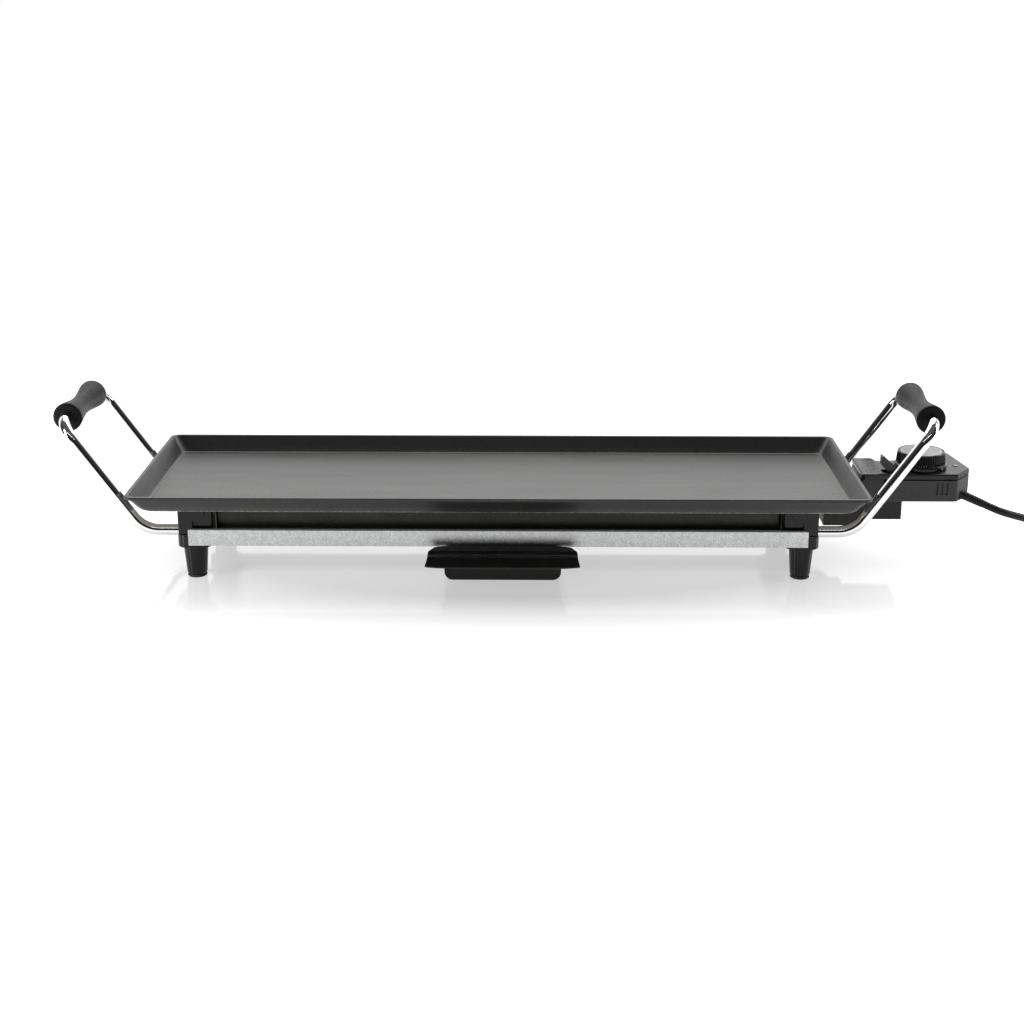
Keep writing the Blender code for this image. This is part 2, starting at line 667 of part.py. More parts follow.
def make_handle(name, side):
    corners = [
        (side * ROD_INNER_X, -LEG_Y, ROD_Z, 0.0),
        (side * ROD_KNEE_X, -LEG_Y, ROD_Z, 0.030),
        (side * GRIP_X, -LEG_Y, GRIP_Z, 0.021),
        (side * GRIP_X, LEG_Y, GRIP_Z, 0.021),
        (side * ROD_KNEE_X, LEG_Y, ROD_Z, 0.030),
        (side * ROD_INNER_X, LEG_Y, ROD_Z, 0.0),
    ]
    rod = tube("handle_rod_" + name, rounded_path(corners, 6), ROD_RADIUS, "chrome", 3)
    for end in (-1, 1):
        place = (side * LEG_X, end * LEG_Y)
        cut(rod, cylinder(f"rod_eye_{name}_{end}", SCREW_HOLE_RADIUS,
                          (*place, 0.030), (*place, 0.060), sides=16))
    flat = GRIP_HALF_LENGTH
    bore = ROD_RADIUS + GAP
    outer = []
    waist_steps = 8
    for step in range(waist_steps + 1):
        along = flat - 0.003 - 2 * (flat - 0.003) * step / waist_steps
        share = math.cos(math.pi / 2 * along / (flat - 0.003)) ** 1.3
        outer.append((GRIP_RADIUS - (GRIP_RADIUS - GRIP_WAIST_RADIUS) * share, along))
    shoulder = GRIP_RADIUS - 0.0025
    profile = [(bore, flat), (shoulder, flat)] + outer + [(shoulder, -flat), (bore, -flat)]
    grip = turned("handle_grip_" + name, profile, "grip_plastic", (side * GRIP_X, 0.0, GRIP_Z), steps=20)
    grip.rotation_euler = (math.pi / 2, 0.0, 0.0)


# ---------------------------------------------------------------- grease drawer

def make_drawer():
    middle_y = (DRAWER_FRONT_Y + DRAWER_BACK_Y) / 2
    half_y = (DRAWER_BACK_Y - DRAWER_FRONT_Y) / 2
    wall = DRAWER_WALL
    flange = DRAWER_FLANGE
    loft("grease_drawer", [
        rectangle_ring(DRAWER_HALF_X - 0.004, half_y - 0.004, 0.006, DRAWER_BOTTOM_Z),
        rectangle_ring(DRAWER_HALF_X, half_y, 0.009, DRAWER_BOTTOM_Z + 0.004),
        rectangle_ring(DRAWER_HALF_X, half_y, 0.009, DRAWER_TOP_Z - wall),
        rectangle_ring(DRAWER_HALF_X + flange, half_y, 0.009, DRAWER_TOP_Z - wall),
        rectangle_ring(DRAWER_HALF_X + flange, half_y, 0.009, DRAWER_TOP_Z),
        rectangle_ring(DRAWER_HALF_X - wall, half_y - wall, 0.0075, DRAWER_TOP_Z),
        rectangle_ring(DRAWER_HALF_X - wall, half_y - wall, 0.0075, DRAWER_BOTTOM_Z + 0.0045),
        rectangle_ring(DRAWER_HALF_X - 0.005, half_y - 0.005, 0.005, DRAWER_BOTTOM_Z + wall),
    ], "control_plastic", (DRAWER_X, middle_y, 0.0))


def make_drawer_handle():
    """A front plate under a hood, which is flat on top, steps down and flares out to a wide lip."""
    outline = rounded_corners([
        (DRAWER_X - DRAWER_HALF_X, 0.0055, 0.008), (DRAWER_X + DRAWER_HALF_X, 0.0055, 0.008),
        (DRAWER_X + DRAWER_HALF_X, HOOD_ROOT_Z, 0.001), (DRAWER_X - DRAWER_HALF_X, HOOD_ROOT_Z, 0.001),
    ], 4)
    plate = prism("drawer_handle", outline, DRAWER_FRONT_Y - 0.0030, DRAWER_FRONT_Y - GAP,
                  "black_phenolic", axis="Y")
    step_radius = 0.0045
    line = rounded_path([
        (0.0, HOOD_BACK_Y, HOOD_TOP_Z - HOOD_SHEET / 2, 0.0),
        (0.0, HOOD_STEP_Y, HOOD_TOP_Z - HOOD_SHEET / 2 - 0.0008, step_radius),
        (0.0, HOOD_STEP_Y - 0.0030, HOOD_LIP_Z + 0.0046, step_radius),
        (0.0, HOOD_LIP_Y, HOOD_LIP_Z, 0.0),
    ], 4)
    columns = 14
    bm = bmesh.new()
    grid = []
    for point in line:
        forwards = (HOOD_BACK_Y - point.y) / (HOOD_BACK_Y - HOOD_LIP_Y)
        half = HOOD_HALF_BACK + (HOOD_HALF_LIP - HOOD_HALF_BACK) * math.sqrt(max(forwards, 0.0))
        dip = HOOD_DIP * (1 - 2 * forwards)
        row = []
        for column in range(columns + 1):
            across = 2 * column / columns - 1
            row.append(bm.verts.new((DRAWER_X + half * across, point.y, point.z - dip * abs(across) ** 6)))
        grid.append(row)
    for back_row, front_row in zip(grid, grid[1:]):
        for column in range(columns):
            bm.faces.new((back_row[column], back_row[column + 1], front_row[column + 1], front_row[column]))
    hood = mesh_object("drawer_hood", mesh_from(bm, "drawer_hood"))
    sheet = hood.modifiers.new("sheet", "SOLIDIFY")
    sheet.thickness = HOOD_SHEET
    sheet.offset = 0.0
    join(plate, hood)


def make_drawer_rails():
    inner = DRAWER_HALF_X + DRAWER_FLANGE + 0.0005
    sheet = 0.0012
    top = TRAY_FLOOR_Z - GAP
    lip_top = DRAWER_TOP_Z - DRAWER_WALL - 0.0005
    for name, side in (("left", -1), ("right", 1)):
        outline = [
            (inner - 0.0030, lip_top - sheet), (inner + sheet, lip_top - sheet), (inner + sheet, top - sheet),
            (inner + 0.009, top - sheet), (inner + 0.009, top), (inner, top), (inner, lip_top),
            (inner - 0.0030, lip_top),
        ]
        points = [(DRAWER_X + side * x, z) for x, z in outline]
        prism("drawer_rail_" + name, points, -0.078, DRAWER_BACK_Y + 0.010, "galvanised", axis="Y")


# ---------------------------------------------------------------- socket and thermostat

def make_socket_housing():
    wall = 0.0025
    housing = box("socket_housing", (SOCKET_LEFT_X, -SOCKET_HALF_Y, SOCKET_BOTTOM_Z),
                  (SOCKET_RIGHT_X, SOCKET_HALF_Y, SOCKET_TOP_Z), "black_phenolic")
    cut(housing, box("socket_hollow", (SOCKET_LEFT_X + wall, -SOCKET_HALF_Y + wall, SOCKET_BOTTOM_Z + wall),
                     (SOCKET_RIGHT_X + 0.010, SOCKET_HALF_Y - wall, SOCKET_TOP_Z - wall)))
    for name, y, z, radius in (("front", -PIN_Y, PIN_Z, 0.0040), ("rear", PIN_Y, PIN_Z, 0.0040),
                               ("probe", 0.0, PROBE_Z, 0.0042)):
        cut(housing, cylinder("socket_hole_" + name, radius, (0.310, y, z), (0.330, y, z), sides=20))


def control_outline(neck_front_y=CONTROL_FRONT_Y):
    """Corners of the thermostat's case from above, counter-clockwise: a narrow neck beside the
    plate, and a wider end whose front corner is cut off and whose back edge runs out to the right."""
    front = [(CONTROL_LEFT_X, CONTROL_FRONT_Y, 0.003)]
    if neck_front_y > CONTROL_FRONT_Y:
        front = [
            (CONTROL_LEFT_X, neck_front_y, 0.003),
            (NECK_END_X, neck_front_y, 0.0008),
            (NECK_END_X + 0.0016, CONTROL_FRONT_Y, 0.0008),
        ]
    return front + [
        (0.4490, CONTROL_FRONT_Y, 0.006),
        (CONTROL_RIGHT_X, -0.0070, 0.010),
        (0.4545, 0.0680, 0.011),
        (0.4120, 0.0270, 0.020),
        (0.3790, 0.0195, 0.003),
        (0.3760, 0.0310, 0.003),
        (CONTROL_LEFT_X, 0.0310, 0.003),
    ]


def make_control_shells():
    outer = rounded_corners(control_outline(), 5)
    inner = rounded_corners(inset(control_outline(), SHELL_WALL), 5)
    lens_hole = rounded_corners(lens_outline(GAP), 4)
    top = prism("controller_top_shell", outer, CONTROL_SEAM_Z, CONTROL_TOP_Z, "control_top")
    cut(top, prism("top_hollow", inner, CONTROL_SEAM_Z - 0.002, CONTROL_TOP_Z - SHELL_WALL))
    cut(top, cylinder("spindle_hole", 0.0042, (DIAL_X, 0, 0.080), (DIAL_X, 0, 0.100)))
    cut(top, box("lever_slot", (0.3762, LEVER_FRONT_Y - 0.0006, 0.086),
                 (0.3985, LEVER_BACK_Y + 0.0006, 0.094)))
    cut(top, prism("lens_hole", lens_hole, CONTROL_TOP_Z - 0.004, CONTROL_TOP_Z + 0.004))

    outer = rounded_corners(control_outline(NECK_FRONT_Y), 5)
    inner = rounded_corners(inset(control_outline(NECK_FRONT_Y), SHELL_WALL), 5)
    bottom = prism("controller_bottom_shell", outer, CONTROL_BOTTOM_Z, CONTROL_SEAM_Z - GAP,
                   "control_plastic")
    cut(bottom, prism("bottom_hollow", inner, CONTROL_BOTTOM_Z + SHELL_WALL, CONTROL_SEAM_Z + 0.002))
    for index in range(VENTS):
        x = VENT_X + index * VENT_SPACING
        cut(bottom, box(f"vent_{index}", (x - VENT_WIDTH / 2, CONTROL_FRONT_Y - 0.004, VENT_BOTTOM_Z),
                        (x + VENT_WIDTH / 2, CONTROL_FRONT_Y + 0.0012, VENT_TOP_Z)))
    gland = relief_direction()
    cut(bottom, cylinder("gland_hole", 0.0041, RELIEF_START - gland * 0.010, RELIEF_START + gland * 0.02))
    cut(bottom, cylinder("gland_recess", 0.0045, RELIEF_START + gland * 0.0008, RELIEF_START + gland * 0.02))
    for name, (x, y) in control_screws():
        cut(bottom, cylinder("control_screw_hole_" + name, 0.0019, (x, y, 0.055), (x, y, 0.075), sides=16))


def control_screws():
    return (("left", (0.3650, 0.0255)), ("right", (0.4440, 0.0300)))


def make_control_screws():
    for name, (x, y) in control_screws():
        tip = (x, y, CONTROL_BOTTOM_Z + 0.010)
        screw_body("controller_screw_" + name, tip, (x, y, CONTROL_BOTTOM_Z - GAP), radius=0.0015,
                   head_radius=0.0030, head_height=0.0018)


def make_connector_block():
    """Block under the case that carries the contacts, with a hollow nose that enters the socket."""
    top = CONTROL_BOTTOM_Z - GAP
    block = box("connector_block", (SOCKET_RIGHT_X + 0.0015, -0.020, SOCKET_BOTTOM_Z), (0.398, 0.020, top),
                "black_phenolic")
    join(block, box("connector_nose", (0.3235, -0.0185, 0.0448), (SOCKET_RIGHT_X + 0.004, 0.0185, 0.0614)))
    cut(block, box("nose_hollow", (0.3200, -0.0165, 0.0466), (0.3500, 0.0165, 0.0597)))
    for name, side in (("front", -1), ("rear", 1)):
        cut(block, cylinder("sleeve_bore_" + name, 0.0038, (0.345, side * PIN_Y, PIN_Z),
                            (0.3645, side * PIN_Y, PIN_Z), sides=20))
    cut(block, cylinder("probe_hole", PROBE_RADIUS + GAP, (0.320, 0, PROBE_Z), (0.389, 0, PROBE_Z), sides=20))
    for name, side in (("front", -1), ("rear", 1)):
        turned("contact_sleeve_" + name, [
            (0.0026, 0.0185), (0.0035, 0.0185), (0.0035, -0.0185), (0.0026, -0.0185),
        ], "zinc", (0.3455, side * PIN_Y, PIN_Z), (0.0, math.pi / 2, 0.0), steps=16)
    cylinder("temperature_probe", PROBE_RADIUS, (0.388, 0, PROBE_Z), (PROBE_TIP_X, 0, PROBE_Z), "zinc",
             sides=16)


def make_thermostat_unit():
    base = box("thermostat_unit", (0.396, -0.0165, 0.0655), (0.4395, 0.0165, 0.0745), "zinc",
               bevel=0.0012, segments=1)
    join(base, cylinder("thermostat_bush", 0.0060, (DIAL_X, 0, 0.072), (DIAL_X, 0, 0.0795)))
    cut(base, cylinder("bush_bore", 0.0034, (DIAL_X, 0, 0.0700), (DIAL_X, 0, 0.090), sides=20))


def make_dial():
    place = (DIAL_X, 0.0, 0.0)
    flank = DIAL_BASE_RADIUS - 0.0012
    recess = DIAL_TOP_Z - 0.0009
    profile = [
        (0.0, recess), (DIAL_TOP_RADIUS - 0.0018, recess), (DIAL_TOP_RADIUS - 0.0018, DIAL_TOP_Z),
        (DIAL_TOP_RADIUS - 0.0008, DIAL_TOP_Z), (DIAL_TOP_RADIUS, DIAL_TOP_Z - 0.0008),
        (flank, DIAL_BASE_Z + 0.0035), (DIAL_BASE_RADIUS, DIAL_BASE_Z + 0.0028),
        (DIAL_BASE_RADIUS, DIAL_BASE_Z), (0.0, DIAL_BASE_Z),
    ]
    dial = turned("dial", profile, "control_plastic", place, steps=48)
    spindle_top = DIAL_BASE_Z + 0.0105
    cut(dial, cylinder("dial_bore", 0.0033, (DIAL_X, 0, 0.088), (DIAL_X, 0, spindle_top + GAP), sides=20))
    turned("dial_disc", [
        (0.0, DIAL_TOP_Z - 0.0001), (DIAL_TOP_RADIUS - 0.0024, DIAL_TOP_Z - 0.0001),
        (DIAL_TOP_RADIUS - 0.0021, recess + GAP), (0.0, recess + GAP),
    ], "dial_film", place, steps=48)
    cylinder("dial_spindle", 0.0030, (DIAL_X, 0, 0.0704), (DIAL_X, 0, spindle_top), "zinc", sides=16)


def make_release_lever():
    """A thumb fin that leans up out of its slot, on a boss round its pivot pin."""
    boss = 0.0052
    outline = [(0.3750, 0.1058), (0.3752, 0.0970), (0.3818, 0.0905)]
    steps = 8
    for step in range(steps + 1):
        angle = math.radians(185 + 190 * step / steps)
        outline.append((LEVER_PIVOT_X + boss * math.cos(angle), LEVER_PIVOT_Z + boss * math.sin(angle)))
    outline += [(0.3966, 0.0885), (0.3768, 0.1060)]
    lever = prism("release_lever", outline, LEVER_FRONT_Y, LEVER_BACK_Y, "control_plastic", axis="Y")
    cut(lever, cylinder("lever_bore", 0.0018, (LEVER_PIVOT_X, -0.03, LEVER_PIVOT_Z),
                        (LEVER_PIVOT_X, 0.0, LEVER_PIVOT_Z), sides=16))
    cylinder("lever_pin", 0.0015, (LEVER_PIVOT_X, -0.0262, LEVER_PIVOT_Z),
             (LEVER_PIVOT_X, -0.0080, LEVER_PIVOT_Z), "zinc", sides=16)


def lens_outline(clearance=0.0):
    """Corners of the oval pilot lens, beside the dial."""
    half_x = LENS_HALF_X + clearance
    half_y = LENS_HALF_Y + clearance
    radius = half_y - 0.0001
    return [
        (LENS_X - half_x, LENS_Y - half_y, radius), (LENS_X + half_x, LENS_Y - half_y, radius),
        (LENS_X + half_x, LENS_Y + half_y, radius), (LENS_X - half_x, LENS_Y + half_y, radius),
    ]


def make_pilot_lens():
    prism("pilot_lens", rounded_corners(lens_outline(), 4), CONTROL_TOP_Z - 0.0038, CONTROL_TOP_Z + 0.0006,
          "pilot_lens")


# ---------------------------------------------------------------- lead

def relief_direction():
    return Vector((math.cos(RELIEF_SLOPE), 0.0, math.sin(RELIEF_SLOPE)))


def cord_route():
    """The lead from the strain relief to the coil, chosen by hand: it droops to the table."""
    start = RELIEF_START + relief_direction() * (RELIEF_LENGTH + GAP)
    ahead = start + relief_direction() * 0.016
    return [
        start, ahead,
        Vector((0.5050, -0.0172, 0.0460)),
        Vector((0.5230, -0.0105, 0.0395)),
        Vector((0.5460, 0.0010, 0.0300)),
        Vector((0.5720, 0.0150, 0.0192)),
        Vector((0.5980, 0.0290, 0.0105)),
        Vector((0.6240, 0.0425, CORD_REST_Z + 0.0010)),
        Vector((0.6420, 0.0513, CORD_REST_Z)),
    ]


def smooth(points, spacing):
    """Points along a Catmull-Rom curve through the given ones."""
    ends = [points[0] * 2 - points[1]] + list(points) + [points[-1] * 2 - points[-2]]
    line = []
    for before, start, end, after in zip(ends, ends[1:], ends[2:], ends[3:]):
        pieces = max(1, round((end - start).length / spacing))
        for piece in range(pieces):
            t = piece / pieces
            line.append(0.5 * (
                2 * start + (end - before) * t
                + (2 * before - 5 * start + 4 * end - after) * t ** 2
                + (3 * start - before - 3 * end + after) * t ** 3
            ))
    line.append(Vector(points[-1]))
    return line


def make_strain_relief():
    along = relief_direction()
    relief = turned("strain_relief", [
        (0.0, RELIEF_LENGTH), (0.0039, RELIEF_LENGTH), (0.0043, 0.0045), (0.0043, 0.0010), (0.0039, 0.0010),
        (0.0039, -0.006), (0.0, -0.006),
    ], "cord_sheath", RELIEF_START, steps=20)
    relief.rotation_euler = along.to_track_quat("Z", "Y").to_euler()


def make_cord():
    line = smooth(cord_route(), 0.012)
    reach = COIL_OUTER_RADIUS + CORD_RADIUS + COIL_CLEARANCE
    clear = [point for point in line
             if math.hypot(point.x - COIL_MIDDLE.x, point.y - COIL_MIDDLE.y) > reach + CORD_RADIUS + 0.0008]
    tube("cord", clear, CORD_RADIUS, "cord_sheath")
    inner = COIL_INNER_RADIUS - CORD_RADIUS - COIL_CLEARANCE
    top = CORD_REST_Z + COIL_PITCH + CORD_RADIUS + COIL_CLEARANCE
    turned("cord_coil", [
        (inner, top), (reach, top), (reach, 0.0), (inner, 0.0),
    ], "cord_sheath", COIL_MIDDLE, steps=40)


def tail_start():
    """Where the top layer of the coil lets go, with its direction."""
    angle = COIL_HEADING + 2 * math.pi * (2 * COIL_TURNS_A_LAYER + COIL_RISE_TURNS - 0.25)
    out = Vector((math.cos(angle), math.sin(angle), 0.0))
    place = COIL_MIDDLE + COIL_OUTER_RADIUS * out + Vector((0.0, 0.0, CORD_REST_Z + COIL_PITCH))
    return place, Vector((-math.sin(angle), math.cos(angle), 0.0))


def make_plug():
    """An earthed mains plug lying on its side, at the end of a short tail off the coil."""
    place, along = tail_start()
    entry = place + along * 0.078
    entry.z = PLUG_RADIUS
    first = place + along * 0.0335
    first.z += 0.0008
    route = [first, place + along * 0.045 + Vector((0, 0, 0.0030)),
             place + along * 0.060 + Vector((0, 0, 0.0062)), entry - along * GAP]
    tube("cord_tail", smooth(route, 0.010), CORD_RADIUS, "cord_sheath")
    turn = along.to_track_quat("Z", "Y").to_euler()
    body = turned("plug_body", [
        (0.0, 0.046), (0.0150, 0.046), (0.0178, 0.044),
        (PLUG_RADIUS - 0.0002, 0.040), (PLUG_RADIUS - 0.0002, 0.030),
        (0.0150, 0.026), (0.0115, 0.018), (0.0080, 0.012), (0.0058, 0.004), (0.0050, 0.0), (0.0, 0.0),
    ], "black_phenolic", entry, steps=28)
    body.rotation_euler = turn
    across = along.cross(Vector((0, 0, 1))).normalized()
    for name, side in (("left", -1), ("right", 1)):
        base = entry + along * (0.046 + GAP) + across * side * 0.0095
        cylinder("plug_pin_" + name, 0.0024, base, base + along * 0.019, "zinc", sides=14)


make_plate()
make_drain_spout()
make_heating_element()
make_element_clamps()
make_probe_well()
make_element_cover()
make_base_tray()
for leg_name, leg_side, leg_end in legs():
    make_leg(leg_name, leg_side, leg_end)
make_handle("left", -1)
make_handle("right", 1)
make_drawer()
make_drawer_handle()
make_drawer_rails()
make_socket_housing()
make_control_shells()
make_control_screws()
make_connector_block()
make_thermostat_unit()
make_dial()
make_release_lever()
make_pilot_lens()
make_strain_relief()
make_cord()
make_plug()
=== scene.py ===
"""Looks of the tabletop electric griddle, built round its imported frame.

Metres. Shapes are written about the middle of the cooking plate, as x to the thermostat, y to the back
and z up from the table, and piece() moves them to where the frame's plate is.
"""

import json
import math

import bmesh
import bpy
from mathutils import Matrix, Vector

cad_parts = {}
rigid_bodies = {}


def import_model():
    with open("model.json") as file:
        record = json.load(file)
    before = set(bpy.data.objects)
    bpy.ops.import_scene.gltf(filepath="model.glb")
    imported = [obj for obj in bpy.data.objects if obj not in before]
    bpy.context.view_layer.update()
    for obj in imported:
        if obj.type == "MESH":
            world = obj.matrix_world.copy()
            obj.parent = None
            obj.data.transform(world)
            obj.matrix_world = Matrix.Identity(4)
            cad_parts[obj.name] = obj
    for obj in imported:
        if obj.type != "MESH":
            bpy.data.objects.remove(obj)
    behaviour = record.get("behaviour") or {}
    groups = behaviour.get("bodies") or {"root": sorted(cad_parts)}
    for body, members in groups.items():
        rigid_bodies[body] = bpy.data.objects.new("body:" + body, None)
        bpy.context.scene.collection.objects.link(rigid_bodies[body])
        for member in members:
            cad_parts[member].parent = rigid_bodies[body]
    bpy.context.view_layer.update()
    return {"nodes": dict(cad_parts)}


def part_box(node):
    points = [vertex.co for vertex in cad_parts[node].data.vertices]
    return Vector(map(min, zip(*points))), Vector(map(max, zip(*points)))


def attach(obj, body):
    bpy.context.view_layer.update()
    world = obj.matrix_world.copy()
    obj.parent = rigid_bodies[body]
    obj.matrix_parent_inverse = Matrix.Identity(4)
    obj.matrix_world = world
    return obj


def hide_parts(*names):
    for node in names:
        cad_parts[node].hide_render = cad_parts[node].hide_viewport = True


for old in list(bpy.data.objects):
    bpy.data.objects.remove(old, do_unlink=True)
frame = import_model()
SCENE = bpy.context.scene
PLATE_LOW, PLATE_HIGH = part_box("griddle_plate")
MIDDLE = Vector(((PLATE_LOW.x + PLATE_HIGH.x) / 2, (PLATE_LOW.y + PLATE_HIGH.y) / 2, 0.0))


CAMERA_PLACE = (0.0118, -1.5930, 0.5490)
CAMERA_TILT = math.radians(72.362)
CAMERA_TURN = math.radians(0.65)
LENS_MILLIMETRES = 58.69
SENSOR_MILLIMETRES = 36.0


def make_camera():
    data = bpy.data.cameras.new("camera")
    data.sensor_width = SENSOR_MILLIMETRES
    data.lens = LENS_MILLIMETRES
    camera = bpy.data.objects.new("camera", data)
    SCENE.collection.objects.link(camera)
    camera.location = CAMERA_PLACE
    camera.rotation_euler = (CAMERA_TILT, 0.0, CAMERA_TURN)
    SCENE.camera = camera


make_camera()


# ---------------------------------------------------------------- finishes

def map_range(tree, value, low, high, to_low, to_high):
    """A node that takes a value from one range to another, clamped at both ends."""
    node = tree.nodes.new("ShaderNodeMapRange")
    sockets = ("From Min", "From Max", "To Min", "To Max")
    for socket, number in zip(sockets, (low, high, to_low, to_high)):
        node.inputs[socket].default_value = number
    tree.links.new(value, node.inputs["Value"])
    return node.outputs["Result"]


class Finish:
    """A Principled material whose colour, roughness and bump come from procedural nodes."""

    def __init__(self, name, colour, metallic=0.0, roughness=0.4, **sockets):
        self.material = bpy.data.materials.new("look_" + name)
        self.material.use_nodes = True
        self.slot = name
        self.nodes = self.material.node_tree.nodes
        self.links = self.material.node_tree.links
        self.shader = self.nodes["Principled BSDF"]
        self.set("Base Color", (*colour, 1.0))
        self.set("Metallic", metallic)
        self.set("Roughness", roughness)
        for socket, value in sockets.items():
            self.set(socket.replace("_", " "), value)
        self.bumps = None

    def set(self, socket, value):
        self.shader.inputs[socket].default_value = value

    def place(self, stretch):
        """The object's own coordinates, in metres, stretched along each axis."""
        coordinates = self.nodes.new("ShaderNodeTexCoord")
        mapping = self.nodes.new("ShaderNodeMapping")
        mapping.inputs["Scale"].default_value = stretch
        self.links.new(coordinates.outputs["Object"], mapping.inputs["Vector"])
        return mapping.outputs["Vector"]

    def noise(self, scale, detail=3.0, stretch=(1.0, 1.0, 1.0)):
        """Noise with that many features a metre."""
        node = self.nodes.new("ShaderNodeTexNoise")
        node.inputs["Scale"].default_value = scale
        node.inputs["Detail"].default_value = detail
        self.links.new(self.place(stretch), node.inputs["Vector"])
        return node.outputs["Fac"]

    def cells(self, scale, stretch=(1.0, 1.0, 1.0)):
        """A random level for each crystal-like cell."""
        node = self.nodes.new("ShaderNodeTexVoronoi")
        node.inputs["Scale"].default_value = scale
        self.links.new(self.place(stretch), node.inputs["Vector"])
        return node.outputs["Color"]

    def remap(self, value, low, high, to_low, to_high):
        return map_range(self.material.node_tree, value, low, high, to_low, to_high)

    def combine(self, operation, first, second):
        """Two values added or multiplied."""
        node = self.nodes.new("ShaderNodeMath")
        node.operation = operation
        self.links.new(first, node.inputs[0])
        self.links.new(second, node.inputs[1])
        return node.outputs["Value"]

    def height(self, low, high):
        """From 0 to 1 between two heights above the table."""
        split = self.nodes.new("ShaderNodeSeparateXYZ")
        self.links.new(self.place((1.0, 1.0, 1.0)), split.inputs["Vector"])
        return self.remap(split.outputs["Z"], low, high, 0.0, 1.0)

    def colours(self, value, *stops):
        """Base colour from (position, colour) stops along a value."""
        node = self.nodes.new("ShaderNodeValToRGB")
        ramp = node.color_ramp
        for index, (position, colour) in enumerate(stops):
            element = ramp.elements[index] if index < 2 else ramp.elements.new(position)
            element.position = position
            element.color = (*colour, 1.0)
        self.links.new(value, node.inputs["Fac"])
        self.links.new(node.outputs["Color"], self.shader.inputs["Base Color"])
        return self

    def roughen(self, value, low, high):
        """Roughness from low to high as the value goes over its middle half."""
        self.links.new(self.remap(value, 0.3, 0.7, low, high), self.shader.inputs["Roughness"])
        return self

    def bump(self, value, depth, strength=1.0):
        """Relief of a real depth, on top of any earlier one."""
        node = self.nodes.new("ShaderNodeBump")
        node.inputs["Distance"].default_value = depth
        node.inputs["Strength"].default_value = strength
        self.links.new(value, node.inputs["Height"])
        if self.bumps is not None:
            self.links.new(self.bumps, node.inputs["Normal"])
        self.bumps = node.outputs["Normal"]
        self.links.new(self.bumps, self.shader.inputs["Normal"])
        return self


def grey(level):
    return (level, level, level)


def cast_coating():
    """Sandy non-stick coating over die-cast aluminium, with painted shade darkening the walls towards the rim
    and a painted reflection of the bright table lightening the lower edge and the underside.
    """
    look = Finish("cast_coating", grey(0.030), 0.0, 0.42, Specular_IOR_Level=0.62)
    grain = look.noise(430.0, 5.0, (1.0, 0.45, 1.0))
    cloud = look.noise(6.0, 3.0, (1.0, 2.6, 2.0))
    patches = look.remap(cloud, 0.3, 0.7, 0.8, 1.2)
    tone = look.combine("MULTIPLY", patches, look.remap(grain, 0.34, 0.66, 0.3, 0.7))
    # Painted shade: above the pan's floor the colour darkens with height, down to 0.3 of its level from z
    # 0.080 up to the rim.
    walls = look.remap(look.height(0.0752, 0.0800), 0.0, 1.0, 1.0, 0.3)
    # Painted reflection of the bright table: the outer wall's lower edge and the underside are lifted towards
    # the last, brownish stop.
    painted_floor_reflection = look.remap(look.height(0.0714, 0.0742), 0.0, 1.0, 1.0, 0.0)
    tone = look.combine("ADD", look.combine("MULTIPLY", tone, walls), painted_floor_reflection)
    # Only the painted reflection reaches the stop at 1.0, (0.30, 0.28, 0.24).
    look.colours(tone, (0.1, (0.004, 0.004, 0.004)), (0.88, (0.049, 0.047, 0.042)), (1.0, (0.30, 0.28, 0.24)))
    look.roughen(look.noise(18.0, 6.0, (0.5, 2.2, 1.0)), 0.37, 0.46)
    look.bump(grain, 0.00016, 0.8)
    return look


def galvanised():
    """Hot-dipped sheet: small spangles under a fine speckle."""
    look = Finish("galvanised", grey(0.66), 1.0, 0.34)
    spangle = look.cells(260.0, (1.0, 1.0, 0.8))
    speckle = look.noise(1500.0, 3.0, (1.0, 1.0, 0.8))
    cloud = look.remap(spangle, 0.0, 1.0, 0.90, 1.0)
    tone = look.combine("MULTIPLY", cloud, look.remap(speckle, 0.36, 0.64, 0.78, 1.0))
    look.colours(tone, (0.70, (0.38, 0.39, 0.39)), (1.0, (0.74, 0.75, 0.74)))
    look.roughen(speckle, 0.30, 0.38)
    look.bump(speckle, 0.000004, 0.4)
    return look


def dark_sheet():
    """Heat-darkened sheet steel with a fine grain."""
    look = Finish("dark_sheet", (0.030, 0.029, 0.026), 0.35, 0.46)
    grain = look.noise(900.0, 3.0, (1.0, 1.0, 0.8))
    look.colours(grain, (0.36, (0.014, 0.014, 0.013)), (0.64, (0.036, 0.035, 0.031)))
    look.roughen(look.noise(90.0, 4.0, (0.3, 1.0, 1.0)), 0.40, 0.52)
    look.bump(look.noise(700.0, 2.0), 0.00003, 0.4)
    return look


def element_steel():
    """Sheathed element and its steel fittings, dulled by heat."""
    look = Finish("element_steel", grey(0.24), 0.9, 0.42)
    look.colours(look.noise(120.0, 5.0), (0.3, (0.15, 0.15, 0.14)), (0.7, (0.34, 0.33, 0.31)))
    look.roughen(look.noise(300.0, 3.0), 0.34, 0.52)
    look.bump(look.noise(1800.0, 2.0), 0.00002, 0.5)
    return look


def zinc():
    """Zinc-plated steel."""
    look = Finish("zinc", grey(0.62), 1.0, 0.3)
    look.colours(look.noise(260.0, 4.0), (0.3, (0.52, 0.53, 0.54)), (0.7, (0.72, 0.72, 0.70)))
    look.roughen(look.noise(500.0, 3.0), 0.22, 0.38)
    look.bump(look.noise(2200.0, 2.0), 0.00001, 0.5)
    return look


def chrome():
    """Bright plating, with the faint waviness of a drawn rod and a few dull spots."""
    look = Finish("chrome", (0.86, 0.86, 0.87), 1.0, 0.05)
    look.colours(look.noise(40.0, 3.0), (0.3, (0.83, 0.83, 0.84)), (0.7, (0.88, 0.88, 0.89)))
    look.roughen(look.noise(120.0, 5.0), 0.03, 0.09)
    look.bump(look.noise(90.0, 2.0), 0.00002, 0.25)
    return look


